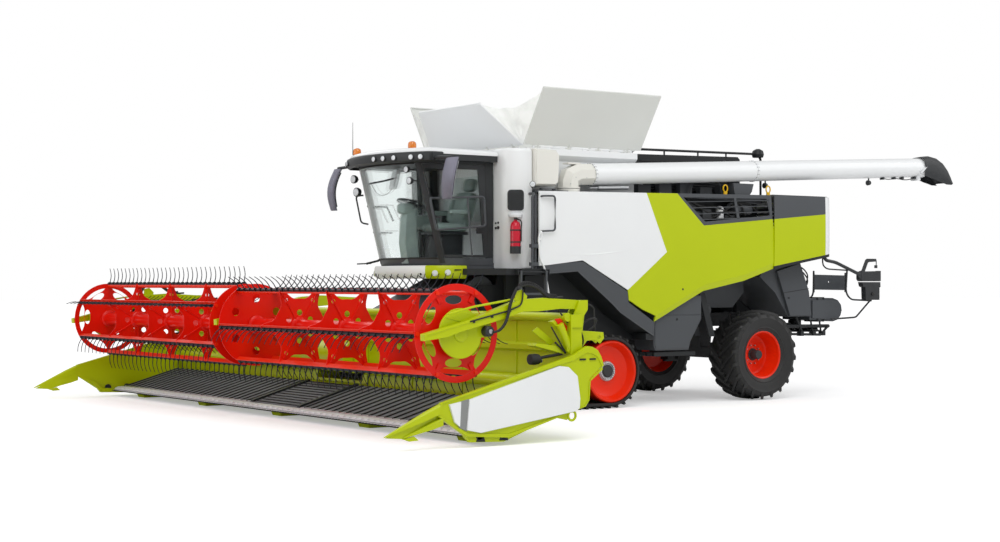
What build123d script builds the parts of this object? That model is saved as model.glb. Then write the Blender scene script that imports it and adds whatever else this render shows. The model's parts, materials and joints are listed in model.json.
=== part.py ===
import os
from math import cos, degrees, hypot, pi, radians, sin

from build123d import *

os.makedirs("parts", exist_ok=True)

# A half-track combine harvester with a wide draper header, in millimetres.
# +X is forward, +Y is the driver's left, +Z is up, and the ground is Z = 0.
# Lengths along X are measured from the track axle, which stands at front_axle_x.

# Overall reach, and the running gear
nose_reach = 5570  # track axle to the tips of the crop dividers
tail_reach = 8300  # track axle to the end of the unloading spout
front_axle_x = (tail_reach - nose_reach) / 2
wheelbase = 3860
seat_gap = 0.3  # air between a piece and what carries it
hinge_pin_radius = 7
hinge_tube_radius = 13

track_centre_y = 1285
track_belt_width = 635
track_belt_thickness = 45
track_lug_height = 35
track_lug_length = 70
track_lug_count = 46
track_wheel_radius = 465
track_front_x = 850
track_rear_x = -740
track_roller_radius = 170
track_roller_xs = (-160, 270)
track_beam_width = 90
track_pivot_x = 55
track_pivot_radius = 95
track_wheel_z = track_lug_height + track_belt_thickness + track_wheel_radius

rear_tyre_radius = 715
rear_tyre_width = 600
rear_lug_height = 42
rear_lug_count = 20
lug_width = 52
lug_slant = 32
lug_root = 60
rear_rim_radius = 372
rear_track_y = 1270
kingpin_y = 870
kingpin_radius = 38
knuckle_barrel_radius = 68
knuckle_barrel_height = 210
stub_radius = 55
axle_beam_height = 170
axle_beam_depth = 180
fork_ear_thickness = 45

# Main frame and the housings on it
rail_y = 385
rail_width = 110
rail_bottom = 1150
rail_height = 220
rail_front_x = 600
rail_rear_x = -4680
hitch_pin_x = -4860
hitch_z = 800
hitch_bore_radius = 20
hitch_thickness = 40
hitch_half_width = 130
housing_half_width = 800
housing_front_x = 640
housing_rear_x = -4105
housing_top = 2180
wheel_arch_z = 1460
wheel_arch_reach = 680
body_half_width = 1600
panel_thickness = 30
panel_gap = 8
panel_front_x = 620
panel_seam_x = -4000
hood_rear_x = -5350
deck_top = 3200
deck_thickness = 40
deck_front_x = -1480

# Grain tank and its folding top
tank_front_x = 620
tank_rear_x = -1450
tank_half_width = 1215
tank_rim = 3820
tank_rim_half_width = 1300
tank_flare_low = 3650
tank_flare_high = 3730
tank_shoulder = 3080
tank_foot = 2230
tank_foot_half_width = 620
tank_wall = 25
flap_thickness = 25
side_flap_height = 960
side_flap_lean = 32
end_flap_height = 820
end_flap_lean = 40
end_flap_trim = 388
end_flap_inset = 85

# Unloading auger
auger_pivot_x = -60
auger_y = 1400
auger_z = 3440
auger_rise = 3
auger_tube_radius = 162
auger_flange_rise = 9
auger_flange_width = 30
elbow_radius = 168
turret_radius = 160
turret_pipe_radius = 145
turret_bottom = 2181
turret_top = 3235
spout_length = 620

# Cab
cab_rear_x = 1010
cab_half_width = 1000
cab_floor_top = 2150
cab_floor_bottom = 2060
cab_roof_bottom = 3600
cab_bottom_corner_x = 1800
cab_top_corner_x = 2150
cab_bow = 230
cab_wall = 60
glass_thickness = 8
roof_top = 3770
roof_half_width = 1120
roof_rear_x = 1010
roof_corner_x = 2180
roof_bow = 330
door_gap = 6
platform_top = 2060
platform_thickness = 90
platform_outer_y = 1640
platform_front_x = 1545
platform_rear_x = 575

# Feeder house and header
feeder_pivot_x = 1010
feeder_pivot_z = 1715
feeder_end_radius = 240
feeder_half_width = 680
feeder_wall = 40
feeder_front_x = 2620
feeder_front_top = 1190
feeder_front_bottom = 440
feeder_shaft_radius = 48
lift_foot_x = 560
lift_foot_z = 760
lift_eye_x = 2020
lift_eye_z = 680
header_half_width = 5400
shield_thickness = 90
cutter_x = 4180
cutter_z = 115
table_rear_x = 3080
table_rear_z = 430
table_thickness = 24
belt_thickness = 60
centre_belt_half_width = 940
belt_side_gap = 14
wall_x = 2960
wall_top = 1480
wall_thickness = 20
throat_half_width = 640
throat_top = 1080
main_tube_radius = 105
main_tube_x = 2800
main_tube_z = 560
top_beam_size = 150
drum_x = 3060
drum_z = 820
drum_radius = 230
drum_half_length = 600

# Reel
reel_x = 4400
reel_z = 1280
reel_bat_radius = 530
reel_ring_radius = 565
star_waist_radius = 330
star_ys = (1400, 2650, 3900)
reel_core_radius = 95
reel_shaft_radius = 34
reel_bat_tube_radius = 24
reel_bat_count = 6
reel_outer_y = 5130
reel_inner_y = 150
reel_plate_thickness = 12
tine_length = 255
tine_width = 10
tine_pitch = 322
tine_count = 16
reel_arm_y = 5270
reel_arm_width = 90
reel_arm_pivot_x = 2720
reel_arm_pivot_z = 1600
reel_arm_slope = 10
carriage_disc_radius = 290
carriage_thickness = 40


def side_plane(y):
    """Sketch x is forward from the track axle, sketch y is up, and the normal points to the right."""
    return Plane(origin=(front_axle_x, y, 0), x_dir=(1, 0, 0), z_dir=(0, -1, 0))


def cross_plane(x):
    """Sketch x is to the left, sketch y is up, and the normal points forward."""
    return Plane(origin=(front_axle_x + x, 0, 0), x_dir=(0, 1, 0), z_dir=(1, 0, 0))


def level_plane(z):
    """Sketch x is forward from the track axle, sketch y is to the left, and the normal points up."""
    return Plane(origin=(front_axle_x, 0, z), x_dir=(1, 0, 0), z_dir=(0, 0, 1))


def wheel_plane(x, y, z):
    """Sketch x runs out along a wheel's axle and sketch y along its radius."""
    return Plane(origin=(front_axle_x + x, y, z), x_dir=(0, 1, 0), z_dir=(1, 0, 0))


def wheel_axis(x, y, z):
    return Axis((front_axle_x + x, y, z), (0, 1, 0))


def spot(x, y, z):
    return Vector(front_axle_x + x, y, z)


def outline(points, mode=Mode.ADD):
    Polygon(*points, mode=mode)


def rod(start, end, radius, mode=Mode.ADD):
    """A round bar between two spots, or with Mode.SUBTRACT a bore."""
    with BuildSketch(Plane(origin=start, z_dir=end - start)) as section:
        Circle(radius)
    extrude(section.sketch, amount=(end - start).length, mode=mode)


def block(low, high, mode=Mode.ADD):
    """A box between two corners, given as x, y, z from the track axle."""
    middle = spot(*((a + b) / 2 for a, b in zip(low, high)))
    with Locations(middle):
        Box(*(abs(b - a) for a, b in zip(low, high)), mode=mode)


def keep(piece, label):
    piece.label = label
    export_step(piece, f"parts/{label}.step")


def keep_pair(left_piece, name):
    """Two nodes, one on each side."""
    keep(left_piece, "left_" + name)
    keep(mirror(left_piece, about=Plane.XZ), "right_" + name)


def keep_both(left_piece, label):
    """One node that holds a piece on each side."""
    pair = Compound(children=left_piece.solids() + mirror(left_piece, about=Plane.XZ).solids())
    keep(pair, label)


# Track units: belt loop, wheels and frame on the left, mirrored to the right
track_span = track_front_x - track_rear_x
track_mid_x = (track_front_x + track_rear_x) / 2
track_outer_radius = track_wheel_radius + track_belt_thickness
loop_length = 2 * track_span + 2 * pi * track_outer_radius
lug_pitch = loop_length / track_lug_count


def loop_place(distance):
    """Centre and turn of a lug at a distance along the outside of the belt loop."""
    radius = track_outer_radius + track_lug_height / 2 - 1
    arc = pi * track_outer_radius
    if distance < track_span:
        return track_rear_x + distance, track_wheel_z - radius, 0
    distance -= track_span
    if distance < arc:
        turn = -90 + degrees(distance / track_outer_radius)
        return (
            track_front_x + radius * cos(radians(turn)),
            track_wheel_z + radius * sin(radians(turn)),
            turn + 90,
        )
    distance -= arc
    if distance < track_span:
        return track_front_x - distance, track_wheel_z + radius, 0
    distance -= track_span
    turn = 90 + degrees(distance / track_outer_radius)
    return (
        track_rear_x + radius * cos(radians(turn)),
        track_wheel_z + radius * sin(radians(turn)),
        turn + 90,
    )


with BuildPart() as track_belt:
    with BuildSketch(side_plane(track_centre_y)):
        with Locations((track_mid_x, track_wheel_z)):
            SlotCenterToCenter(track_span, 2 * track_outer_radius)
        for lug in range(track_lug_count):
            x, z, turn = loop_place(lug * lug_pitch)
            with Locations(Location((x, z, 0), (0, 0, turn))):
                Rectangle(track_lug_length, track_lug_height + 2)
        with Locations((track_mid_x, track_wheel_z)):
            SlotCenterToCenter(track_span, 2 * track_wheel_radius, mode=Mode.SUBTRACT)
    extrude(amount=track_belt_width / 2, both=True)
keep_both(track_belt.part, "track_belts")


def track_wheel(x, z, radius, hub_radius):
    """A twin wheel: two dished discs with rims, joined by a hub that turns in the beam."""
    half = track_belt_width / 2 - 20
    gap = track_beam_width / 2 + 25
    rim = 40
    dish = 70
    with BuildSketch(wheel_plane(x, track_centre_y, z)) as profile:
        outline(
            [
                (-half, radius - rim),
                (-half, radius - seat_gap),
                (-gap, radius - seat_gap),
                (-gap, radius - rim),
                (-gap - dish, radius - rim),
                (-gap - dish, hub_radius),
                (-gap - dish + 15, hub_radius),
                (-gap - dish + 15, hub_radius * 0.55),
                (gap + 15, hub_radius * 0.55),
                (gap + 15, hub_radius),
                (gap + dish, hub_radius),
                (gap + dish, radius - rim),
                (gap, radius - rim),
                (gap, radius - seat_gap),
                (half, radius - seat_gap),
                (half, radius - rim),
                (gap + dish + 30, radius - rim - 12),
                (gap + dish + 30, hub_radius * 1.25),
                (half - 20, hub_radius),
                (half - 20, 0),
                (-half + 40, 0),
                (-half + 40, hub_radius),
                (-gap - dish - 30, hub_radius * 1.25),
                (-gap - dish - 30, radius - rim - 12),
            ]
        )
    revolve(profile.sketch, axis=wheel_axis(x, track_centre_y, z))


with BuildPart() as track_wheels:
    for x in (track_rear_x, track_front_x):
        track_wheel(x, track_wheel_z, track_wheel_radius, 120)
    for x in track_roller_xs:
        z = track_lug_height + track_belt_thickness + track_roller_radius
        track_wheel(x, z, track_roller_radius, 60)
keep_both(track_wheels.part, "track_wheels")

hub_bore = 120 * 0.55 + seat_gap
roller_bore = 60 * 0.55 + seat_gap
roller_z = track_lug_height + track_belt_thickness + track_roller_radius
with BuildPart() as track_frame:
    with BuildSketch(side_plane(track_centre_y)):
        outline(
            [
                (track_rear_x - 60, track_wheel_z - 100),
                (track_rear_x - 110, track_wheel_z),
                (track_rear_x - 60, track_wheel_z + 110),
                (track_pivot_x - 260, track_wheel_z + 190),
                (track_pivot_x + 260, track_wheel_z + 190),
                (track_front_x + 60, track_wheel_z + 110),
                (track_front_x + 110, track_wheel_z),
                (track_front_x + 60, track_wheel_z - 100),
                (track_roller_xs[1] + 90, roller_z - 60),
                (track_roller_xs[0] - 90, roller_z - 60),
            ]
        )
    extrude(amount=track_beam_width / 2, both=True)
    with BuildSketch(side_plane(track_centre_y + track_beam_width)):
        with Locations((track_rear_x, track_wheel_z), (track_front_x, track_wheel_z)):
            Circle(hub_bore)
        with Locations((track_roller_xs[0], roller_z), (track_roller_xs[1], roller_z)):
            Circle(roller_bore)
    extrude(amount=2 * track_beam_width, mode=Mode.SUBTRACT)

# Main frame: rails, cross members, track beams on their pivot tube, feeder ears and axle yoke
track_pivot_z = track_wheel_z + 60
rear_axle_z = rear_tyre_radius
yoke_half_length = 150
feeder_ear_gap = 10
cross_member_bottom = rail_bottom + 30
with BuildPart() as main_frame:
    for side in (-1, 1):
        with BuildSketch(cross_plane(rail_rear_x)):
            with Locations((side * rail_y, rail_bottom + rail_height / 2)):
                Rectangle(rail_width, rail_height)
        extrude(amount=rail_front_x - rail_rear_x)
    for x in (rail_rear_x + 60, -3000, -1900, -900, rail_front_x - 60):
        with BuildSketch(cross_plane(x - 50)):
            with Locations((0, rail_bottom + rail_height / 2)):
                Rectangle(2 * rail_y, rail_height - 2 * (cross_member_bottom - rail_bottom))
        extrude(amount=100)
    # track pivot tube and its hangers
    with BuildSketch(side_plane(0)):
        with Locations((track_pivot_x, track_pivot_z)):
            Circle(track_pivot_radius)
    extrude(amount=track_centre_y + track_beam_width / 2 + 20, both=True)
    for side in (-1, 1):
        with BuildSketch(side_plane(side * rail_y)):
            outline(
                [
                    (track_pivot_x - 330, rail_bottom + 10),
                    (track_pivot_x + 330, rail_bottom + 10),
                    (track_pivot_x + 140, track_pivot_z - 130),
                    (track_pivot_x - 140, track_pivot_z - 130),
                ]
            )
        extrude(amount=35, both=True)
    add(track_frame.part)
    add(mirror(track_frame.part, about=Plane.XZ))
    # rests for the chopper, and the rear axle yoke
    for side in (-1, 1):
        with BuildSketch(side_plane(side * rail_y)):
            outline([(-4300, 1340), (-4300, 1615), (rail_rear_x, 1380), (rail_rear_x, 1340)])
        extrude(amount=40, both=True)
    with BuildSketch(side_plane(0)):
        outline(
            [
                (-wheelbase - yoke_half_length, rail_bottom + 10),
                (-wheelbase + yoke_half_length, rail_bottom + 10),
                (-wheelbase + 110, rear_axle_z + axle_beam_height / 2 + seat_gap),
                (-wheelbase - 110, rear_axle_z + axle_beam_height / 2 + seat_gap),
            ]
        )
    extrude(amount=150, both=True)
    with BuildSketch(cross_plane(-wheelbase - yoke_half_length)):
        with Locations((0, rail_bottom + 60)):
            Rectangle(2 * rail_y, 120)
    extrude(amount=2 * yoke_half_length)
    # lift cylinder feet
    for side in (-1, 1):
        block((440, side * 330, rail_bottom + 10), (640, side * 567, rail_bottom + 200))
        for y in (403, 557):
            with BuildSketch(side_plane(side * y)):
                outline([(450, 1180), (640, 1180), (640, 760), (600, 690), (520, 690), (460, 800)])
            extrude(amount=10, both=True)
        rod(spot(lift_foot_x, side * 393, lift_foot_z), spot(lift_foot_x, side * 567, lift_foot_z), 32)
    # feeder house ears and shaft
    for side in (-1, 1):
        ear_y = side * (feeder_half_width + feeder_ear_gap + 25)
        with BuildSketch(side_plane(ear_y)):
            outline(
                [
                    (rail_front_x - 220, rail_bottom + 10),
                    (rail_front_x - 220, rail_bottom + rail_height),
                    (housing_front_x + 1, rail_bottom + rail_height),
                    (housing_front_x + 1, platform_top - platform_thickness - seat_gap),
                    (housing_front_x + 120, platform_top - platform_thickness - seat_gap),
                    (housing_front_x + 150, feeder_pivot_z + 110),
                    (feeder_pivot_x - 90, feeder_pivot_z + 110),
                    (feeder_pivot_x + 90, feeder_pivot_z + 110),
                    (feeder_pivot_x + 110, feeder_pivot_z - 60),
                    (feeder_pivot_x - 110, rail_bottom + 10),
                ]
            )
        extrude(amount=25, both=True)
        with BuildSketch(cross_plane(rail_front_x - 220)):
            with Locations((side * (rail_y + ear_y * side) / 2, rail_bottom + rail_height / 2)):
                Rectangle(abs(ear_y) - rail_y + 50, rail_height)
        extrude(amount=120)
    with BuildSketch(side_plane(0)):
        with Locations((feeder_pivot_x, feeder_pivot_z)):
            Circle(feeder_shaft_radius)
    extrude(amount=feeder_half_width + feeder_ear_gap + 60, both=True)
keep(main_frame.part, "main_frame")

# Tow hitch: cheeks under the rear cross member, and a tongue with a pin hole
with BuildPart() as tow_hitch:
    for side in (-1, 1):
        with BuildSketch(side_plane(side * (hitch_half_width - 15))):
            outline(
                [
                    (rail_rear_x + 10, cross_member_bottom - seat_gap),
                    (rail_rear_x + 110, cross_member_bottom - seat_gap),
                    (rail_rear_x + 130, hitch_z - hitch_thickness / 2),
                    (rail_rear_x - 60, hitch_z - hitch_thickness / 2),
                ]
            )
        extrude(amount=15, both=True)
    with BuildSketch(level_plane(hitch_z - hitch_thickness / 2)):
        outline(
            [
                (rail_rear_x + 130, -hitch_half_width),
                (rail_rear_x - 60, -hitch_half_width),
                (hitch_pin_x - 60, -60),
                (hitch_pin_x - 60, 60),
                (rail_rear_x - 60, hitch_half_width),
                (rail_rear_x + 130, hitch_half_width),
            ]
        )
        with Locations((hitch_pin_x, 0)):
            Circle(hitch_bore_radius, mode=Mode.SUBTRACT)
    extrude(amount=hitch_thickness)
keep(tow_hitch.part, "tow_hitch")

# Rear axle beam with fork ears for the kingpins
ear_reach = 78
beam_end_y = kingpin_y - knuckle_barrel_radius - 12
with BuildPart() as rear_axle:
    with BuildSketch(cross_plane(-wheelbase - axle_beam_depth / 2)):
        with Locations((0, rear_axle_z)):
            Rectangle(2 * beam_end_y, axle_beam_height)
    extrude(amount=axle_beam_depth)
    for side in (-1, 1):
        for up in (-1, 1):
            ear_low = up * (knuckle_barrel_height / 2 + 3) + (0 if up > 0 else -fork_ear_thickness)
            with BuildSketch(level_plane(rear_axle_z + ear_low)):
                with Locations((-wheelbase, side * kingpin_y)):
                    Circle(ear_reach)
                with Locations((-wheelbase, side * (beam_end_y - 60 + kingpin_y) / 2)):
                    Rectangle(2 * ear_reach, kingpin_y - beam_end_y + 60)
                with Locations((-wheelbase, side * kingpin_y)):
                    Circle(kingpin_radius + seat_gap, mode=Mode.SUBTRACT)
            extrude(amount=fork_ear_thickness)
        with BuildSketch(cross_plane(-wheelbase - ear_reach)):
            with Locations((side * (beam_end_y - 40), rear_axle_z)):
                Rectangle(80, knuckle_barrel_height + 2 * fork_ear_thickness)
        extrude(amount=2 * ear_reach)
keep(rear_axle.part, "rear_axle")

# Steering knuckles: kingpin, barrel, stub axle and steering arm
with BuildPart() as knuckle:
    with BuildSketch(level_plane(rear_axle_z - knuckle_barrel_height / 2)):
        with Locations((-wheelbase, kingpin_y)):
            Circle(knuckle_barrel_radius)
    extrude(amount=knuckle_barrel_height)
    pin_half = knuckle_barrel_height / 2 + fork_ear_thickness + 6
    with BuildSketch(level_plane(rear_axle_z - pin_half - 36)):
        with Locations((-wheelbase, kingpin_y)):
            Circle(kingpin_radius)
    extrude(amount=2 * pin_half + 36)
    with BuildSketch(side_plane(kingpin_y)):
        with Locations((-wheelbase, rear_axle_z)):
            Circle(stub_radius)
    extrude(amount=-(rear_track_y + 130 - kingpin_y))
    block(
        (-wheelbase - 260, kingpin_y - 30, rear_axle_z - pin_half - 36),
        (-wheelbase + 30, kingpin_y + 30, rear_axle_z - pin_half),
    )
keep_pair(knuckle.part, "knuckle")

# Rear wheels: deep-dished rim with hub, and a lugged tyre
hub_inner_y = -60
hub_outer_y = 150
with BuildPart() as rear_rim:
    with BuildSketch(wheel_plane(-wheelbase, rear_track_y, rear_axle_z)):
        outline(
            [
                (-250, rear_rim_radius - 30),
                (-250, rear_rim_radius - seat_gap),
                (250, rear_rim_radius - seat_gap),
                (250, rear_rim_radius - 30),
                (225, rear_rim_radius - 46),
                (60, rear_rim_radius - 90),
                (20, rear_rim_radius - 130),
                (20, 130),
                (hub_outer_y, 110),
                (hub_outer_y, stub_radius + seat_gap),
                (hub_inner_y, stub_radius + seat_gap),
                (hub_inner_y, 130),
                (-10, 150),
                (-10, rear_rim_radius - 120),
                (30, rear_rim_radius - 70),
                (-225, rear_rim_radius - 46),
            ]
        )
    revolve(axis=wheel_axis(-wheelbase, rear_track_y, rear_axle_z))
keep_pair(rear_rim.part, "rear_rim")

carcass_radius = rear_tyre_radius - rear_lug_height
tyre_half = rear_tyre_width / 2
tyre_bead_half = 245
with BuildPart() as rear_tyre:
    with BuildSketch(wheel_plane(-wheelbase, rear_track_y, rear_axle_z)):
        with BuildLine():
            Line((-tyre_bead_half, rear_rim_radius), (tyre_bead_half, rear_rim_radius))
            for side in (-1, 1):
                ThreePointArc(
                    (side * tyre_bead_half, rear_rim_radius),
                    (side * tyre_half, rear_rim_radius + 150),
                    (side * (tyre_half - 45), carcass_radius - 30),
                )
            ThreePointArc(
                (tyre_half - 45, carcass_radius - 30),
                (0, carcass_radius),
                (-tyre_half + 45, carcass_radius - 30),
            )
        make_face()
    revolve(axis=wheel_axis(-wheelbase, rear_track_y, rear_axle_z))
    for lug in range(rear_lug_count):
        for half, shift in ((1, 0), (-1, 180 / rear_lug_count)):
            turn = lug * 360 / rear_lug_count + shift
            outward = Vector(cos(radians(turn)), 0, sin(radians(turn)))
            middle = spot(-wheelbase, rear_track_y + half * tyre_half / 2, rear_axle_z)
            # each bar lies askew across half of the tread
            root = middle + outward * (carcass_radius - lug_root)
            bar = Plane(origin=root, x_dir=(0, half, 0), z_dir=outward)
            with BuildSketch(bar):
                with Locations(Location((0, 0, 0), (0, 0, lug_slant * half))):
                    Rectangle(tyre_half, lug_width)
            extrude(amount=lug_root + rear_lug_height - 3)
keep_pair(rear_tyre.part, "rear_tyre")

# Separator housing between the tracks, under the tank and the deck
with BuildPart() as separator_housing:
    with BuildSketch(side_plane(0)):
        outline(
            [
                (housing_front_x, rail_bottom + rail_height + seat_gap),
                (housing_front_x, housing_top),
                (housing_rear_x, housing_top),
                (housing_rear_x, 1700),
                (-wheelbase, wheel_arch_z),
                (-wheelbase + wheel_arch_reach, wheel_arch_z),
                (-wheelbase + wheel_arch_reach + 80, rail_bottom + rail_height + seat_gap),
            ]
        )
    extrude(amount=housing_half_width, both=True)
    offset(amount=-30, kind=Kind.INTERSECTION, mode=Mode.SUBTRACT)
keep(separator_housing.part, "separator_housing")

# Grain tank: an open hopper with sloping lower walls
tank_section = [
    (-tank_rim_half_width, tank_rim),
    (-tank_rim_half_width, tank_flare_high),
    (-tank_half_width, tank_flare_low),
    (-tank_half_width, tank_shoulder),
    (-tank_foot_half_width, tank_foot),
    (tank_foot_half_width, tank_foot),
    (tank_half_width, tank_shoulder),
    (tank_half_width, tank_flare_low),
    (tank_rim_half_width, tank_flare_high),
    (tank_rim_half_width, tank_rim),
]
tank_hollow = [
    (-tank_rim_half_width + tank_wall, tank_rim + 10),
    (-tank_rim_half_width + tank_wall, tank_flare_high + 5),
    (-tank_half_width + tank_wall, tank_flare_low + 5),
    (-tank_half_width + tank_wall, tank_shoulder + 10),
    (-tank_foot_half_width + tank_wall / 2, tank_foot + tank_wall),
    (tank_foot_half_width - tank_wall / 2, tank_foot + tank_wall),
    (tank_half_width - tank_wall, tank_shoulder + 10),
    (tank_half_width - tank_wall, tank_flare_low + 5),
    (tank_rim_half_width - tank_wall, tank_flare_high + 5),
    (tank_rim_half_width - tank_wall, tank_rim + 10),
]
with BuildPart() as grain_tank:
    with BuildSketch(cross_plane(tank_rear_x)):
        outline(tank_section)
    extrude(amount=tank_front_x - tank_rear_x)
    with BuildSketch(cross_plane(tank_rear_x + tank_wall)):
        outline(tank_hollow)
    extrude(amount=tank_front_x - tank_rear_x - 2 * tank_wall, mode=Mode.SUBTRACT)
    # feet that stand on the housing
    for x in (tank_rear_x + 200, tank_front_x - 200):
        with BuildSketch(cross_plane(x - 40)):
            with Locations((0, (housing_top + seat_gap + tank_foot) / 2)):
                Rectangle(2 * tank_foot_half_width, tank_foot - housing_top - seat_gap)
        extrude(amount=80)
    # pins and their lugs along the rim for the folding top
    flap_hinge_z = tank_rim + hinge_tube_radius + 6
    tank_mid_x = (tank_front_x + tank_rear_x) / 2
    side_hinge_y = tank_rim_half_width - tank_wall / 2
    side_pin_half = (tank_front_x - tank_rear_x) / 2 - 120
    end_pin_half = tank_half_width - 150
    for side in (-1, 1):
        y = side * side_hinge_y
        rod(
            spot(tank_mid_x - side_pin_half, y, flap_hinge_z),
            spot(tank_mid_x + side_pin_half, y, flap_hinge_z),
            hinge_pin_radius,
        )
        for x in (tank_mid_x - side_pin_half, tank_mid_x, tank_mid_x + side_pin_half):
            block((x - 12, y - 12, tank_rim - 10), (x + 12, y + 12, flap_hinge_z + 12))
    for end_x in (tank_front_x - tank_wall / 2, tank_rear_x + tank_wall / 2):
        rod(
            spot(end_x, -end_pin_half, flap_hinge_z),
            spot(end_x, end_pin_half, flap_hinge_z),
            hinge_pin_radius,
        )
        for y in (-end_pin_half, 0, end_pin_half):
            block((end_x - 12, y - 12, tank_rim - 10), (end_x + 12, y + 12, flap_hinge_z + 12))
keep(grain_tank.part, "grain_tank")

# Folding tank top: side flaps widen and end flaps narrow towards their free edges
side_flap_length = tank_front_x - tank_rear_x


def flap_plane(origin, along, lean_direction, lean):
    """Sketch x runs along the hinge and sketch y up the flap, which leans out by an angle."""
    up = Vector(0, 0, 1) * cos(radians(lean)) + Vector(*lean_direction) * sin(radians(lean))
    normal = Vector(*along).cross(up)
    return Plane(origin=origin, x_dir=along, z_dir=normal)


with BuildPart() as side_flap:
    hinge = spot(tank_mid_x, side_hinge_y, flap_hinge_z)
    with BuildSketch(flap_plane(hinge, (1, 0, 0), (0, 1, 0), side_flap_lean)):
        outline(
            [
                (-side_pin_half + 22, 0),
                (-side_pin_half + 22, 30),
                (-side_flap_length / 2 + 20, 30),
                (-side_flap_length / 2 - 60, side_flap_height),
                (side_flap_length / 2 + 60, side_flap_height),
                (side_flap_length / 2 - 20, 30),
                (side_pin_half - 22, 30),
                (side_pin_half - 22, 0),
                (22, 0),
                (22, 30),
                (-22, 30),
                (-22, 0),
            ]
        )
    extrude(amount=flap_thickness / 2, both=True)
    for start, end in ((22 - side_pin_half, -22), (22, side_pin_half - 22)):
        rod(hinge + Vector(start, 0, 0), hinge + Vector(end, 0, 0), hinge_tube_radius)
    rod(
        hinge - Vector(side_flap_length, 0, 0),
        hinge + Vector(side_flap_length, 0, 0),
        hinge_pin_radius + seat_gap,
        Mode.SUBTRACT,
    )
keep_pair(side_flap.part, "tank_flap")


def end_flap(hinge_x, direction):
    hinge = spot(hinge_x, 0, flap_hinge_z)
    half = tank_rim_half_width - end_flap_inset
    with BuildPart() as flap:
        with BuildSketch(flap_plane(hinge, (0, 1, 0), (direction, 0, 0), end_flap_lean)):
            outline(
                [
                    (-end_pin_half + 22, 0),
                    (-end_pin_half + 22, 30),
                    (-half, 30),
                    (-half + end_flap_trim, end_flap_height),
                    (half - end_flap_trim, end_flap_height),
                    (half, 30),
                    (end_pin_half - 22, 30),
                    (end_pin_half - 22, 0),
                    (22, 0),
                    (22, 30),
                    (-22, 30),
                    (-22, 0),
                ]
            )
        extrude(amount=flap_thickness / 2, both=True)
        for start, end in ((22 - end_pin_half, -22), (22, end_pin_half - 22)):
            rod(hinge + Vector(0, start, 0), hinge + Vector(0, end, 0), hinge_tube_radius)
        rod(
            hinge - Vector(0, 2 * half, 0),
            hinge + Vector(0, 2 * half, 0),
            hinge_pin_radius + seat_gap,
            Mode.SUBTRACT,
        )
    return flap.part


keep(end_flap(tank_front_x - tank_wall / 2, 1), "front_tank_flap")
keep(end_flap(tank_rear_x + tank_wall / 2, -1), "rear_tank_flap")

# Unloading auger: fixed turret, then the swinging elbow, tube and spout
tube_direction = Vector(-cos(radians(auger_rise)), 0, sin(radians(auger_rise)))
tube_length = (tail_reach + auger_pivot_x - 240) / cos(radians(auger_rise)) - spout_length * 0.55
with BuildPart() as auger_turret:
    with BuildSketch(level_plane(turret_bottom)):
        with Locations((auger_pivot_x, auger_y)):
            Circle(turret_pipe_radius)
    extrude(amount=turret_top - turret_bottom)
    with BuildSketch(level_plane(turret_top - 30)):
        with Locations((auger_pivot_x, auger_y)):
            Circle(turret_radius)
    extrude(amount=30)
    # cross conveyor duct that stands on the housing, and the bracket on the tank wall
    with BuildSketch(level_plane(turret_bottom)):
        with Locations((auger_pivot_x, (auger_y + housing_half_width - 40) / 2)):
            Rectangle(240, auger_y - housing_half_width + 40)
    extrude(amount=190)
    with BuildSketch(level_plane(tank_shoulder + 20)):
        with Locations((auger_pivot_x, (auger_y + tank_half_width + seat_gap) / 2)):
            Rectangle(160, auger_y - tank_half_width - seat_gap)
    extrude(amount=50)
keep(auger_turret.part, "auger_turret")

elbow_centre = Vector(front_axle_x + auger_pivot_x, auger_y, auger_z)
tube_plane = Plane(origin=elbow_centre, x_dir=(0, 1, 0), z_dir=tube_direction)
with BuildPart() as auger_tube:
    with BuildSketch(level_plane(turret_top + seat_gap)):
        with Locations((auger_pivot_x, auger_y)):
            Circle(turret_radius)
    extrude(amount=30)
    with BuildSketch(level_plane(turret_top + seat_gap)):
        with Locations((auger_pivot_x, auger_y)):
            Circle(auger_tube_radius)
    extrude(amount=auger_z - turret_top - seat_gap)
    with Locations(elbow_centre):
        Sphere(elbow_radius)
    with BuildSketch(tube_plane):
        Circle(auger_tube_radius)
    extrude(amount=tube_length)
    for distance in (480, tube_length * 0.62, tube_length - 30):
        with BuildSketch(tube_plane.offset(distance)):
            Circle(auger_tube_radius + auger_flange_rise)
        extrude(amount=auger_flange_width)
keep(auger_tube.part, "auger_tube")

# spout: a hood that turns the grain down, open below
spout_start = tube_plane.offset(tube_length + seat_gap).origin
spout_x = spout_start.X - front_axle_x
spout_reach = auger_tube_radius + 25
spout_top = (spout_x + spout_reach * sin(radians(auger_rise)), spout_start.Z + spout_reach)
spout_low = (spout_x - spout_reach * sin(radians(auger_rise)), spout_start.Z - spout_reach)
with BuildPart() as auger_spout:
    spout_half = auger_tube_radius + 30
    with BuildSketch(side_plane(auger_y)):
        with BuildLine():
            ThreePointArc(
                spout_top,
                (-tail_reach + 190, spout_start.Z + 60),
                (-tail_reach, spout_start.Z - 230),
            )
            Polyline(
                (-tail_reach, spout_start.Z - 230),
                (-tail_reach + 130, spout_start.Z - 290),
                spout_low,
                spout_top,
            )
        make_face()
    extrude(amount=spout_half, both=True)
    with BuildSketch(side_plane(auger_y)):
        with BuildLine():
            ThreePointArc(
                (spout_x - 120, spout_start.Z + auger_tube_radius),
                (-tail_reach + 230, spout_start.Z + 30),
                (-tail_reach + 30, spout_start.Z - 250),
            )
            Polyline(
                (-tail_reach + 30, spout_start.Z - 250),
                (-tail_reach + 60, spout_start.Z - 400),
                (-tail_reach + 330, spout_start.Z - 400),
                (spout_x - 120, spout_start.Z - 120),
                (spout_x - 120, spout_start.Z + auger_tube_radius),
            )
        make_face()
    extrude(amount=spout_half - 25, both=True, mode=Mode.SUBTRACT)
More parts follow.
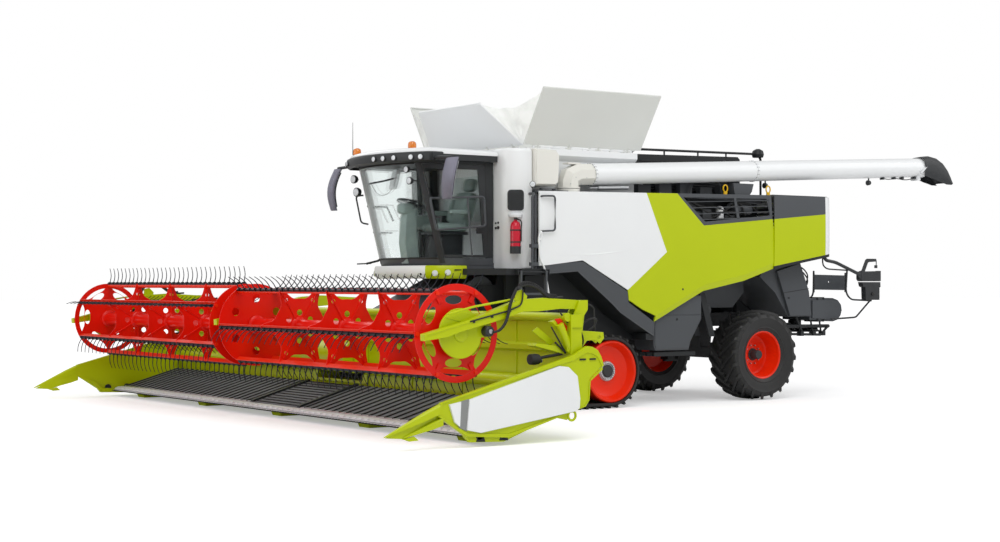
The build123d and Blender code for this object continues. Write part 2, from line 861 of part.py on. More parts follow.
keep(auger_spout.part, "auger_spout")

# Side panels, which swing up about their top edge, with a grille in the rear upper corner
hinge_z = deck_top - 10
panel_hinge_y = body_half_width - 44
panel_hinge_z = deck_top + 16
panel_tubes = ((-3850, -3650), (-2000, -1700), (330, 520))
panel_outline = [
    (panel_front_x, hinge_z - 14),
    (panel_seam_x + 40, hinge_z + 60),
    (-4110, 2110),
    (-3390, 1890),
    (-2530, 1730),
    (-1540, 1270),
    (-1035, 1715),
    (-170, 2185),
    (480, 2110),
    (panel_front_x, 2100),
]
grille_outline = [
    (-2060, hinge_z + 40),
    (panel_seam_x + 60, hinge_z + 50),
    (panel_seam_x + 20, 2840),
    (-2530, 2750),
]
grille_holes = [
    [(-2190, hinge_z - 20), (-3000, hinge_z - 10), (-3050, 2810), (-2560, 2790)],
    [(-3060, hinge_z - 10), (-3860, hinge_z), (-3890, 2870), (-3100, 2820)],
]


def panel_hinge(start, end):
    """A bored tube round the hinge pin, with the strip that joins it to the panel."""
    block((start, panel_hinge_y, panel_hinge_z - 26), (end, body_half_width - 10, panel_hinge_z))
    front, rear = spot(end, panel_hinge_y, panel_hinge_z), spot(start, panel_hinge_y, panel_hinge_z)
    rod(rear, front, hinge_tube_radius)
    rod(rear, front, hinge_pin_radius + seat_gap, Mode.SUBTRACT)


with BuildPart() as side_panel:
    with BuildSketch(side_plane(body_half_width)):
        outline(panel_outline)
        outline(grille_outline, Mode.SUBTRACT)
    extrude(amount=panel_thickness)
    for start, end in panel_tubes[1:]:
        panel_hinge(start, end)
keep_pair(side_panel.part, "side_panel")

with BuildPart() as side_grille:
    with BuildSketch(side_plane(body_half_width)):
        outline(grille_outline)
        offset(amount=-seat_gap, kind=Kind.INTERSECTION, mode=Mode.REPLACE)
        for hole in grille_holes:
            outline(hole, Mode.SUBTRACT)
    extrude(amount=panel_thickness)
    with BuildSketch(side_plane(body_half_width - 5)):
        for row in range(5):
            z = 2870 + row * 72
            front_end = -2530 + (z - 2750) / 480 * 470 - 30
            with Locations(((front_end - 3930) / 2, z)):
                Rectangle(front_end + 3930, 18)
    extrude(amount=panel_thickness - 10)
    panel_hinge(*panel_tubes[0])
keep_pair(side_grille.part, "side_grille")

# Upper deck over the rear body, rear hood, and side fenders with boxes
with BuildPart() as engine_deck:
    with BuildSketch(level_plane(deck_top - deck_thickness)):
        with Locations(((deck_front_x + panel_seam_x) / 2, 0)):
            Rectangle(
                deck_front_x - panel_seam_x - 2 * seat_gap,
                2 * (body_half_width - panel_thickness - 40),
            )
    extrude(amount=deck_thickness)
    # ledges beside the tank, with a hole for the auger turret
    for side in (-1, 1):
        low = (deck_front_x - 20, side * (tank_half_width + seat_gap), deck_top - deck_thickness)
        block(low, (panel_front_x - 5, side * (body_half_width - panel_thickness - 40), deck_top))
        # pins of the side panel's hinges
        for start, end in panel_tubes:
            y = side * panel_hinge_y
            rod(spot(start - 30, y, panel_hinge_z), spot(end + 30, y, panel_hinge_z), hinge_pin_radius)
            for x in (start - 20, end + 20):
                block((x - 10, y - side * 60, deck_top - 10), (x + 10, y + side * 4, panel_hinge_z + 10))
    with BuildSketch(level_plane(deck_top - deck_thickness)):
        with Locations((auger_pivot_x, auger_y)):
            Circle(turret_pipe_radius + seat_gap)
    extrude(amount=deck_thickness, mode=Mode.SUBTRACT)
    # posts from the housing up to the deck
    for x in (deck_front_x - 120, -2700, panel_seam_x + 120):
        for side in (-1, 1):
            with BuildSketch(level_plane(housing_top + seat_gap)):
                with Locations((x, side * (housing_half_width - 60))):
                    Rectangle(90, 90)
            extrude(amount=deck_top - deck_thickness / 2 - housing_top)
keep(engine_deck.part, "engine_deck")

hood_top = hinge_z + 65
with BuildPart() as rear_hood:
    with BuildSketch(side_plane(0)):
        outline(
            [
                (panel_seam_x - panel_gap, hood_top),
                (hood_rear_x + 150, hood_top + 15),
                (hood_rear_x + 40, 3050),
                (hood_rear_x, 2400),
                (hood_rear_x + 40, 2340),
                (-4600, 2160),
                (-4110 - panel_gap, 2110),
            ]
        )
    extrude(amount=body_half_width, both=True)
    offset(amount=-35, kind=Kind.INTERSECTION, mode=Mode.SUBTRACT)
keep(rear_hood.part, "rear_hood")

with BuildPart() as fender:
    with BuildSketch(side_plane(body_half_width - 15)):
        outline(
            [
                (panel_front_x - 60, 2090),
                (480, 2100),
                (-165, 2172),
                (-1040, 1700),
                (-1545, 1258),
                (-1545, 1010),
                (50, 2020),
                (panel_front_x - 60, 1990),
            ]
        )
    extrude(amount=body_half_width - 15 - housing_half_width - seat_gap)
keep_both(fender.part, "fenders")

with BuildPart() as side_box:
    with BuildSketch(side_plane(body_half_width - 90)):
        outline([(-1600, 1240), (-2380, 1600), (-2560, 1660), (-2400, 830), (-1640, 830)])
    extrude(amount=body_half_width - 90 - housing_half_width - seat_gap)
    with BuildSketch(cross_plane(-2350)):
        with Locations(((housing_half_width + rail_y + rail_width / 2) / 2 + 1, rail_bottom + 110)):
            Rectangle(housing_half_width - rail_y - rail_width / 2 + 1.4, 120)
    extrude(amount=500)
keep_both(side_box.part, "side_boxes")

# Engine, cooler and exhaust under and on the deck
with BuildPart() as engine:
    with BuildSketch(level_plane(housing_top + seat_gap)):
        with Locations((-3200, 0)):
            Rectangle(1250, 850)
    extrude(amount=800)
keep(engine.part, "engine")

with BuildPart() as cooler:
    with BuildSketch(level_plane(deck_top + seat_gap)):
        with Locations((-2150, 0)):
            Rectangle(1100, 1900)
    extrude(amount=660)
    with BuildSketch(level_plane(deck_top + seat_gap)):
        with Locations((-3300, -300)):
            Rectangle(1200, 900)
    extrude(amount=430)
keep(cooler.part, "cooler")

with BuildPart() as exhaust:
    with BuildSketch(level_plane(deck_top + seat_gap)):
        with Locations((-3300, 520)):
            Circle(75)
    extrude(amount=700)
    with BuildSketch(level_plane(deck_top + 100)):
        with Locations((-3300, 520)):
            Circle(150)
    extrude(amount=330)
keep(exhaust.part, "exhaust")

# Straw chopper and spreader
chopper_outline = [
    (-4160, 1703),
    (-4160, 2114),
    (-4600, 2160 - seat_gap),
    (-5050, 2274 - seat_gap),
    (-5100, 1500),
    (-5150, 1250),
    (-4890, 1250),
]
with BuildPart() as chopper:
    with BuildSketch(side_plane(0)):
        outline(chopper_outline)
    extrude(amount=1250, both=True)
    offset(amount=-30, kind=Kind.INTERSECTION, mode=Mode.SUBTRACT)
keep(chopper.part, "chopper")

with BuildPart() as spreader:
    for side in (-1, 1):
        with BuildSketch(level_plane(1030)):
            with Locations((-5420, side * 640)):
                Circle(460)
        extrude(amount=1250 - seat_gap - 1030)
    with BuildSketch(level_plane(1030)):
        with Locations((-5130, 0)):
            Rectangle(330, 2200)
    extrude(amount=1250 - seat_gap - 1030)
keep(spreader.part, "spreader")

# Cab: lofted shell between floor and roof outlines, with its windows cut


def cab_loop(z_share, inset):
    """Plan outline of the cab at a share of its height, moved in by an inset."""
    corner = cab_bottom_corner_x + (cab_top_corner_x - cab_bottom_corner_x) * z_share
    half = cab_half_width - inset
    with BuildLine() as edge:
        corner = corner - inset
        front = ThreePointArc((corner, -half), (corner + cab_bow, 0), (corner, half))
        Polyline(
            front @ 1,
            (cab_rear_x + inset, half),
            (cab_rear_x + inset, -half),
            front @ 0,
        )
    make_face(edge.edges())


def cab_body(bottom, top, inset, mode=Mode.ADD):
    span = cab_roof_bottom - cab_floor_bottom
    with BuildSketch(level_plane(bottom)) as low:
        cab_loop((bottom - cab_floor_bottom) / span, inset)
    with BuildSketch(level_plane(top)) as high:
        cab_loop((top - cab_floor_bottom) / span, inset)
    loft([low.sketch, high.sketch], ruled=True, mode=mode)


def slope_x(z):
    """X of the windscreen's side corner at a height."""
    share = (z - cab_floor_bottom) / (cab_roof_bottom - cab_floor_bottom)
    return cab_bottom_corner_x + (cab_top_corner_x - cab_bottom_corner_x) * share


pillar = 95
door_hinge_x = cab_rear_x + pillar + 15
door_hinge_y = cab_half_width + 22
door_hinge_zs = (2420, 3260)
sill = cab_floor_top + 20
lintel = cab_roof_bottom - 70
door_outline = [
    (cab_rear_x + pillar, sill),
    (slope_x(sill) - pillar, sill),
    (slope_x(lintel) - pillar, lintel),
    (cab_rear_x + pillar, lintel),
]
with BuildPart() as cab_shell:
    cab_body(cab_floor_bottom, cab_roof_bottom, 0)
    cab_body(cab_floor_top, cab_roof_bottom, cab_wall, mode=Mode.SUBTRACT)
    # side openings on both sides, the windscreen, and the rear window
    with BuildSketch(side_plane(0)):
        outline(door_outline)
    extrude(amount=cab_half_width + 50, both=True, mode=Mode.SUBTRACT)
    with BuildSketch(cross_plane(cab_bottom_corner_x - 250)):
        with Locations((0, (sill + lintel) / 2)):
            Rectangle(2 * (cab_half_width - 80), lintel - sill)
    extrude(amount=1200, mode=Mode.SUBTRACT)
    with BuildSketch(cross_plane(cab_rear_x - 20)):
        with Locations((0, (cab_floor_top + 550 + lintel) / 2)):
            Rectangle(2 * (cab_half_width - 130), lintel - cab_floor_top - 550)
    extrude(amount=cab_wall + 60, mode=Mode.SUBTRACT)
    for z in door_hinge_zs:
        rod(spot(door_hinge_x, door_hinge_y, z - 20), spot(door_hinge_x, door_hinge_y, z + 95), 8)
        for low in (z - 20, z + 80 + seat_gap):
            block(
                (door_hinge_x - 60, cab_half_width - 20, low),
                (door_hinge_x + 12, door_hinge_y + 12, low + 20 - seat_gap),
            )
            block(
                (cab_rear_x + pillar, cab_half_width - 50, low),
                (door_hinge_x + 14, cab_half_width + 5, low + 20 - seat_gap),
                Mode.SUBTRACT,
            )
keep(cab_shell.part, "cab_shell")

with BuildPart() as cab_glass:
    cab_body(sill + seat_gap, lintel - seat_gap, 20)
    cab_body(sill, lintel, 20 + glass_thickness, mode=Mode.SUBTRACT)
    with BuildSketch(cross_plane(cab_bottom_corner_x - 250 + 5)):
        with Locations((0, (sill + lintel) / 2)):
            Rectangle(2 * (cab_half_width - 80 - seat_gap), lintel - sill)
    extrude(amount=1200, mode=Mode.INTERSECT)

with BuildPart() as cab_windows:
    with BuildSketch(side_plane(-cab_half_width + 20 + glass_thickness)):
        outline(door_outline)
        offset(amount=-seat_gap, kind=Kind.INTERSECTION, mode=Mode.REPLACE)
    extrude(amount=glass_thickness)
    with BuildSketch(cross_plane(cab_rear_x + 20)):
        with Locations((0, (cab_floor_top + 550 + lintel) / 2)):
            Rectangle(2 * (cab_half_width - 130 - seat_gap), lintel - cab_floor_top - 550 - 2 * seat_gap)
    extrude(amount=glass_thickness)
keep(Compound(children=cab_glass.solids() + cab_windows.solids()), "cab_glass")

# Cab door on the left, hung on the rear pillar, with its outer rail
door_plane = side_plane(cab_half_width)
with BuildPart() as cab_door:
    with BuildSketch(door_plane):
        outline(door_outline)
        offset(amount=-door_gap, kind=Kind.INTERSECTION, mode=Mode.REPLACE)
        offset(amount=-55, kind=Kind.INTERSECTION, mode=Mode.SUBTRACT)
    extrude(amount=45)
    for z in door_hinge_zs:
        block((door_hinge_x, cab_half_width - 20, z), (door_hinge_x + 40, door_hinge_y, z + 80))
        rod(spot(door_hinge_x, door_hinge_y, z), spot(door_hinge_x, door_hinge_y, z + 80), 16)
        rod(
            spot(door_hinge_x, door_hinge_y, z - 5),
            spot(door_hinge_x, door_hinge_y, z + 85),
            8 + seat_gap,
            Mode.SUBTRACT,
        )
keep(cab_door.part, "cab_door")

with BuildPart() as door_glass:
    with BuildSketch(side_plane(cab_half_width - 18)):
        outline(door_outline)
        offset(amount=-door_gap - 55 - seat_gap, kind=Kind.INTERSECTION, mode=Mode.REPLACE)
    extrude(amount=glass_thickness)
keep(door_glass.part, "door_glass")

# Cab roof, front bumper, seat and console, platform, tower, lamps and mirrors
with BuildPart() as cab_roof:
    for z, inset in ((cab_roof_bottom + seat_gap, 0), (roof_top, 70)):
        with BuildSketch(level_plane(z)):
            half = roof_half_width - inset
            with BuildLine():
                front = ThreePointArc(
                    (roof_corner_x - inset, -half),
                    (roof_corner_x + roof_bow - inset, 0),
                    (roof_corner_x - inset, half),
                )
                Polyline(front @ 1, (roof_rear_x + inset, half), (roof_rear_x + inset, -half), front @ 0)
            make_face()
    loft(ruled=True)
keep(cab_roof.part, "cab_roof")

with BuildPart() as cab_bumper:
    with BuildSketch(level_plane(1930)):
        with BuildLine():
            outer = ThreePointArc((1760, -1060), (2110, 0), (1760, 1060))
            Polyline(outer @ 1, (1560, 1060), (1560, 1000), (1730, 1000))
            ThreePointArc((1730, 1000), (2050, 0), (1730, -1000))
            Polyline((1730, -1000), (1560, -1000), (1560, -1060), outer @ 0)
        make_face()
    extrude(amount=cab_floor_bottom - seat_gap - 1930)
    with BuildSketch(level_plane(cab_floor_bottom - 60)):
        with Locations((1600, 0)):
            Rectangle(120, 1980)
    extrude(amount=60 - seat_gap)
keep(cab_bumper.part, "cab_bumper")

with BuildPart() as seat:
    with BuildSketch(level_plane(cab_floor_top + seat_gap)):
        with Locations((1400, 0)):
            Rectangle(330, 380)
    extrude(amount=330)
    with BuildSketch(level_plane(cab_floor_top + 330)):
        with Locations((1430, 0)):
            Rectangle(500, 520)
    extrude(amount=130)
    with BuildSketch(side_plane(0)):
        outline([(1180, 2600), (1300, 2600), (1230, 3330), (1130, 3330)])
    extrude(amount=250, both=True)

with BuildPart() as steering_column:
    with BuildSketch(side_plane(0)):
        foot_z = cab_floor_top + seat_gap
        outline([(1720, foot_z), (1860, foot_z), (1900, 2800), (1800, 2850)])
    extrude(amount=70, both=True)
    wheel_spot = Plane(origin=(front_axle_x + 1830, 0, 2860), x_dir=(0, 1, 0), z_dir=(-0.35, 0, 0.94))
    with BuildSketch(wheel_spot):
        Circle(200)
        Circle(170, mode=Mode.SUBTRACT)
        Rectangle(350, 30)
        Circle(50)
    extrude(amount=25, both=True)
keep(Compound(children=seat.solids() + steering_column.solids()), "cab_interior")

ladder_y = platform_outer_y + 55
ladder_hinge_z = platform_top - 50
with BuildPart() as platform:
    with BuildSketch(level_plane(platform_top - platform_thickness)):
        for side in (-1, 1):
            outline(
                [
                    (platform_rear_x, side * (cab_half_width + 5)),
                    (platform_rear_x, side * platform_outer_y),
                    (platform_front_x - 320, side * platform_outer_y),
                    (platform_front_x, side * (cab_half_width + 120)),
                    (platform_front_x, side * (cab_half_width + 5)),
                ]
            )
    extrude(amount=platform_thickness)
    block(
        (housing_front_x + 5, -cab_half_width - 10, platform_top - platform_thickness),
        (1500, cab_half_width + 10, platform_top - seat_gap),
    )
    # hinge of the ladder
    rod(spot(520, ladder_y, ladder_hinge_z), spot(1080, ladder_y, ladder_hinge_z), 14)
    for x in (520, 590, 995, 1065):
        block((x, platform_outer_y - 10, ladder_hinge_z - 40), (x + 15, ladder_y + 20, ladder_hinge_z + 40))
keep(platform.part, "platform")

with BuildPart() as service_tower:
    with BuildSketch(level_plane(platform_top + seat_gap)):
        outline(
            [
                (1000, 1060),
                (680, 1450),
                (housing_front_x + seat_gap, 1450),
                (housing_front_x + seat_gap, -1450),
                (680, -1450),
                (1000, -1060),
            ]
        )
    extrude(amount=tank_rim - 60 - platform_top)
keep(service_tower.part, "service_tower")

with BuildPart() as ladder:
    for x in (560, 1040):
        block((x - 20, ladder_y - 30, 480), (x + 20, ladder_y + 30, ladder_hinge_z + 25))
    for step in range(5):
        z = 520 + step * 290
        block((560, ladder_y - 45, z), (1040, ladder_y + 45, z + 40))
    rod(
        spot(500, ladder_y, ladder_hinge_z),
        spot(1100, ladder_y, ladder_hinge_z),
        14 + seat_gap,
        Mode.SUBTRACT,
    )
keep(ladder.part, "ladder")

with BuildPart() as mirrors:
    for side in (-1, 1):
        with BuildSketch(level_plane(cab_roof_bottom - 30)):
            with Locations((2060, side * 1360)):
                Rectangle(60, 560)
        extrude(amount=30)
        with BuildSketch(cross_plane(2030)):
            with Locations((side * 1580, 3265)):
                Rectangle(210, 610)
        extrude(amount=70)
keep(mirrors.part, "mirrors")

with BuildPart() as beacons:
    for side in (-1, 1):
        with BuildSketch(level_plane(roof_top + seat_gap)):
            with Locations((2120, side * 850)):
                Circle(60)
        extrude(amount=120)
keep(beacons.part, "beacons")

with BuildPart() as rear_lamp_arms:
    for side in (-1, 1):
        with BuildSketch(side_plane(side * 1500)):
            outline([(-5100, 2286), (-5300, 2337), (-6180, 1960), (-6160, 1890), (-5180, 2200)])
            outline([(-6200, 1560), (-6560, 1560), (-6560, 1960), (-6150, 1960)])
        extrude(amount=20, both=True)
keep(rear_lamp_arms.part, "rear_lamp_arms")

# Feeder house: a duct from the header throat up to the housing, turning on its shaft
with BuildPart() as feeder_house:
    with BuildSketch(side_plane(0)):
        with Locations((feeder_pivot_x, feeder_pivot_z)):
            Circle(feeder_end_radius)
        outline(
            [
                (feeder_pivot_x + 60, feeder_pivot_z + feeder_end_radius - 8),
                (feeder_front_x, feeder_front_top),
                (feeder_front_x, feeder_front_bottom),
                (feeder_pivot_x - 60, feeder_pivot_z - feeder_end_radius + 8),
            ]
        )
    extrude(amount=feeder_half_width, both=True)
    with BuildSketch(side_plane(0)):
        outline(
            [
                (feeder_pivot_x + 60, feeder_pivot_z + feeder_end_radius - 60),
                (feeder_front_x + 10, feeder_front_top - 50),
                (feeder_front_x + 10, feeder_front_bottom + 50),
                (feeder_pivot_x + 60, feeder_pivot_z - feeder_end_radius + 60),
            ]
        )
    extrude(amount=feeder_half_width - feeder_wall, both=True, mode=Mode.SUBTRACT)
    with BuildSketch(side_plane(0)):
        with Locations((feeder_pivot_x, feeder_pivot_z)):
            Circle(feeder_shaft_radius + seat_gap)
    extrude(amount=feeder_half_width + 10, both=True, mode=Mode.SUBTRACT)
    # lugs and pins for the lift cylinders
    for side in (-1, 1):
        for ear in (-1, 1):
            with BuildSketch(side_plane(side * 480 + ear * 75)):
                outline([(1850, 930), (2150, 750), (2080, 620), (1960, 620)])
            extrude(amount=15, both=True)
        rod(spot(lift_eye_x, side * 390, lift_eye_z), spot(lift_eye_x, side * 570, lift_eye_z), 20)
keep(feeder_house.part, "feeder_house")

lift_length = hypot(lift_eye_x - lift_foot_x, lift_eye_z - lift_foot_z)
lift_direction = Vector(lift_eye_x - lift_foot_x, 0, lift_eye_z - lift_foot_z).normalized()
with BuildPart() as lift_barrels:
    for side in (-1, 1):
        foot = Vector(front_axle_x + lift_foot_x, side * 480, lift_foot_z)
        with BuildSketch(Plane(origin=foot + lift_direction * 60, x_dir=(0, 1, 0), z_dir=lift_direction)):
            Circle(62)
        extrude(amount=880)
        with BuildSketch(Plane(origin=foot + lift_direction * 700, x_dir=(0, 1, 0), z_dir=lift_direction)):
            Circle(32 + seat_gap)
        extrude(amount=400, mode=Mode.SUBTRACT)
        with BuildSketch(side_plane(side * 480)):
            with Locations((lift_foot_x, lift_foot_z)):
                Circle(75)
        extrude(amount=50, both=True)
        with BuildSketch(side_plane(side * 480)):
            with Locations((lift_foot_x, lift_foot_z)):
                Circle(32 + seat_gap)
        extrude(amount=60, both=True, mode=Mode.SUBTRACT)
keep(lift_barrels.part, "lift_barrels")

with BuildPart() as lift_rods:
    for side in (-1, 1):
        eye = Vector(front_axle_x + lift_eye_x, side * 480, lift_eye_z)
        with BuildSketch(Plane(origin=eye - lift_direction * 50, x_dir=(0, 1, 0), z_dir=-lift_direction)):
            Circle(32)
        extrude(amount=680)
        with BuildSketch(side_plane(side * 480)):
            with Locations((lift_eye_x, lift_eye_z)):
                Circle(60)
        extrude(amount=45, both=True)
        with BuildSketch(side_plane(side * 480)):
            with Locations((lift_eye_x, lift_eye_z)):
                Circle(30 + seat_gap)
        extrude(amount=60, both=True, mode=Mode.SUBTRACT)
keep(lift_rods.part, "lift_rods")

# Header frame: back wall with throat, main tube, top beam and adapter
with BuildPart() as header_frame:
    with BuildSketch(cross_plane(wall_x - wall_thickness)):
        with Locations((0, (wall_top + 330) / 2)):
            Rectangle(2 * header_half_width - 2 * seat_gap, wall_top - 330)
        with Locations((0, (throat_top + 480) / 2)):
            Rectangle(2 * throat_half_width, throat_top - 480, mode=Mode.SUBTRACT)
    extrude(amount=wall_thickness)
    with BuildSketch(side_plane(0)):
        with Locations((wall_x - wall_thickness - top_beam_size / 2 + 5, wall_top - top_beam_size / 2)):
            Rectangle(top_beam_size, top_beam_size)
    extrude(amount=header_half_width - seat_gap, both=True)
    for side in (-1, 1):
        with BuildSketch(side_plane(side * (throat_half_width + 60))):
            with Locations((main_tube_x, main_tube_z)):
                Circle(main_tube_radius)
        extrude(amount=-side * (header_half_width - throat_half_width - 60 - seat_gap))
    # ribs down the back of the wall
    for side in (-1, 1):
        for y in (throat_half_width + 60, 1900, 3100, 4300, header_half_width - 40):
            with BuildSketch(side_plane(side * y)):
                outline(
                    [
                        (wall_x - 5, wall_top - 20),
                        (wall_x - 160, wall_top - 60),
                        (wall_x - 220, 480),
                        (wall_x - 5, 340),
                    ]
                )
            extrude(amount=20, both=True)
    # adapter frame round the throat, against the feeder house
    with BuildSketch(cross_plane(feeder_front_x + seat_gap)):
        with Locations((0, (feeder_front_top + feeder_front_bottom) / 2)):
            Rectangle(2 * feeder_half_width + 120, feeder_front_top - feeder_front_bottom + 60)
        with Locations((0, (throat_top + 480) / 2)):
            Rectangle(2 * throat_half_width, throat_top - 480, mode=Mode.SUBTRACT)
    extrude(amount=wall_x - wall_thickness - feeder_front_x)
    # table sheet and cutter beam
    with BuildSketch(side_plane(0)):
        outline(
            [
                (wall_x - 10, 400),
                (table_rear_x, table_rear_z - belt_thickness - 10),
                (cutter_x - 130, cutter_z - 25),
                (cutter_x - 130, cutter_z - 25 - table_thickness),
                (table_rear_x, table_rear_z - belt_thickness - 10 - table_thickness),
                (wall_x - 10, 330),
            ]
        )
    extrude(amount=header_half_width - seat_gap, both=True)
    # ears and pins for the reel arms
    for y in (-reel_arm_y, 0, reel_arm_y):
        for ear in (-1, 1):
            with BuildSketch(side_plane(y + ear * (reel_arm_width / 2 + 18))):
                outline(
                    [
                        (wall_x - 150, wall_top - 130),
                        (wall_x - 30, wall_top - 130),
                        (reel_arm_pivot_x + 70, reel_arm_pivot_z + 50),
                        (reel_arm_pivot_x - 50, reel_arm_pivot_z + 50),
                        (reel_arm_pivot_x - 50, reel_arm_pivot_z - 60),
                    ]
                )
            extrude(amount=12, both=True)
        reach = reel_arm_width / 2 + 30
        rod(
            spot(reel_arm_pivot_x, y - reach, reel_arm_pivot_z),
            spot(reel_arm_pivot_x, y + reach, reel_arm_pivot_z),
            25,
        )
    # bearing plates of the feed drum
    for side in (-1, 1):
        with BuildSketch(side_plane(side * (drum_half_length + 35))):
            outline(
                [
                    (wall_x - 15, 520),
                    (wall_x - 15, 1060),
                    (drum_x + 60, drum_z + 60),
                    (drum_x + 60, drum_z - 60),
                ]
            )
            with Locations((drum_x, drum_z)):
                Circle(30 + seat_gap, mode=Mode.SUBTRACT)
        extrude(amount=8, both=True)
    # skid shoes
    for y in (-4700, -2400, 0, 2400, 4700):
        with BuildSketch(side_plane(y)):
            outline([(4035, 78), (4000, 0), (3560, 0), (3300, 150), (3300, 280)])
        extrude(amount=130, both=True)
keep(header_frame.part, "header_frame")

with BuildPart() as draper_belts:
    for side, inner, outer in (
        (0, 0, centre_belt_half_width),
        (1, centre_belt_half_width + belt_side_gap, header_half_width - 60),
        (-1, centre_belt_half_width + belt_side_gap, header_half_width - 60),
    ):
        with BuildSketch(side_plane(side * inner)):
            outline(
                [
                    (table_rear_x + 20, table_rear_z - 5),
                    (cutter_x - 140, cutter_z - 20 + belt_thickness),
                    (cutter_x - 130, cutter_z - 24),
                    (table_rear_x + 20, table_rear_z - belt_thickness - 9),
                ]
            )
        if side:
            extrude(amount=-side * (outer - inner))
        else:
            extrude(amount=outer, both=True)
keep(draper_belts.part, "draper_belts")

guard_pitch = 150
guard_count = int(2 * (header_half_width - 40) / guard_pitch)
with BuildPart() as cutterbar:
    with BuildSketch(side_plane(0)):
        outline(
            [
                (cutter_x - 128, cutter_z + 38),
                (cutter_x - 60, cutter_z + 30),
                (cutter_x, cutter_z + 8),
                (cutter_x, cutter_z - 20),
                (cutter_x - 128, cutter_z - 48),
            ]
        )
    extrude(amount=header_half_width - seat_gap, both=True)
    for guard in range(guard_count):
        y = (guard - (guard_count - 1) / 2) * guard_pitch
        with BuildSketch(level_plane(cutter_z - 14)):
            outline(
                [
                    (cutter_x - 4, y - 18),
                    (cutter_x + 90, y - 3),
                    (cutter_x + 90, y + 3),
                    (cutter_x - 4, y + 18),
                ]
            )
        extrude(amount=18)
keep(cutterbar.part, "cutterbar")

# Side shields with crop dividers
shield_frame = [
    (2520, 880),
    (2610, 1060),
    (2760, 1110),
    (2960, 1010),
    (4820, 520),
    (4870, 380),
    (4480, 130),
    (3900, 90),
    (2790, 400),
    (2720, 720),
]
with BuildPart() as shield:
    with BuildSketch(side_plane(header_half_width + shield_thickness)):
        outline(shield_frame)
    extrude(amount=shield_thickness)
keep_both(shield.part, "header_shields")

with BuildPart() as divider:
    with BuildSketch(cross_plane(4870 + seat_gap)):
        with Locations((header_half_width + 45, 400)):
            Rectangle(84, 170)
    with BuildSketch(cross_plane(nose_reach)):
        with Locations((header_half_width + 10, 150)):
            Rectangle(12, 16)
    loft(ruled=True)
keep_both(divider.part, "crop_dividers")

with BuildPart() as feed_drum:
    with BuildSketch(side_plane(0)):
        with Locations((drum_x, drum_z)):
            Circle(drum_radius)
    extrude(amount=drum_half_length, both=True)
    with BuildSketch(side_plane(0)):
        with Locations((drum_x, drum_z)):
            Circle(30)
    extrude(amount=drum_half_length + 60, both=True)
keep(feed_drum.part, "feed_drum")

# Reel arms, carriages, and the reel itself
arm_rail_rise = 95
slope = radians(reel_arm_slope)
rail_tip = (reel_x + 560 * cos(slope), reel_z + arm_rail_rise - 560 * sin(slope))
rail_root = (reel_x - 900 * cos(slope), reel_z + arm_rail_rise + 900 * sin(slope))
with BuildPart() as reel_arms:
    for y in (-reel_arm_y, 0, reel_arm_y):
        with BuildSketch(side_plane(y)):
            outline(
                [
                    rail_tip,
                    (rail_tip[0], rail_tip[1] + 110),
                    (rail_root[0], rail_root[1] + 120),
                    (reel_arm_pivot_x + 60, reel_arm_pivot_z + 70),
                    (reel_arm_pivot_x - 70, reel_arm_pivot_z + 40),
                    (reel_arm_pivot_x - 70, reel_arm_pivot_z - 60),
                    (reel_arm_pivot_x + 60, reel_arm_pivot_z - 70),
                    rail_root,
                ]
            )
            with Locations((reel_arm_pivot_x, reel_arm_pivot_z)):
                Circle(25 + seat_gap, mode=Mode.SUBTRACT)
        extrude(amount=reel_arm_width / 2, both=True)
keep(reel_arms.part, "reel_arms")

with BuildPart() as reel_carriages:
    for y, side in ((-reel_arm_y, -1), (0, 1), (reel_arm_y, 1)):
        plane_y = y + side * (reel_arm_width / 2 + seat_gap)
        with BuildSketch(side_plane(plane_y)):
            with Locations((reel_x, reel_z)):
                Circle(carriage_disc_radius if y else 120)
                Rectangle(200, 330)
                Circle(reel_shaft_radius + seat_gap, mode=Mode.SUBTRACT)
        extrude(amount=-side * carriage_thickness)
keep(reel_carriages.part, "reel_carriages")

# the right half of the reel stands half a bat further round
bat_turns = {
    1: [60 * k for k in range(reel_bat_count)],
    -1: [60 * k + 30 for k in range(reel_bat_count)],
}
# rim of a star plate at each bat: degrees from the bat, radius
star_edge = ((-8, reel_ring_radius), (8, reel_ring_radius), (30, star_waist_radius))


def reel_spot(turn, radius):
    """A point of the reel in its side view, from its angle in degrees and its distance to the axle."""
    return (reel_x + radius * cos(radians(turn)), reel_z + radius * sin(radians(turn)))


def reel_plate(side, y, kind):
    """A plate across the reel, bored for the bats: a ring with spokes, a full disc, or a star."""
    with BuildSketch(side_plane(side * y)) as plate:
        if kind == "star":
            outline(
                [reel_spot(turn + step, radius) for turn in bat_turns[side] for step, radius in star_edge]
            )
        else:
            with Locations((reel_x, reel_z)):
                Circle(reel_ring_radius)
                if kind == "ring":
                    Circle(reel_ring_radius - 80, mode=Mode.SUBTRACT)
                    with PolarLocations(0, reel_bat_count // 2, bat_turns[side][0]):
                        Rectangle(2 * reel_ring_radius - 60, 90)
                    Circle(170)
        with Locations(*[reel_spot(turn, reel_bat_radius) for turn in bat_turns[side]]):
            Circle(reel_bat_tube_radius + seat_gap, mode=Mode.SUBTRACT)
    extrude(plate.sketch, amount=reel_plate_thickness / 2, both=True)


with BuildPart() as reel_frame:
    for side in (-1, 1):
        with BuildSketch(side_plane(side * reel_inner_y)):
            with Locations((reel_x, reel_z)):
                Circle(reel_core_radius)
        extrude(amount=-side * (reel_outer_y - reel_inner_y))
        reel_plate(side, reel_outer_y, "ring")
        reel_plate(side, reel_inner_y, "disc")
        for y in star_ys:
            reel_plate(side, y, "star")
    with BuildSketch(side_plane(0)):
        with Locations((reel_x, reel_z)):
            Circle(reel_shaft_radius)
    extrude(amount=reel_arm_y + reel_arm_width / 2 + carriage_thickness, both=True)
keep(reel_frame.part, "reel_frame")

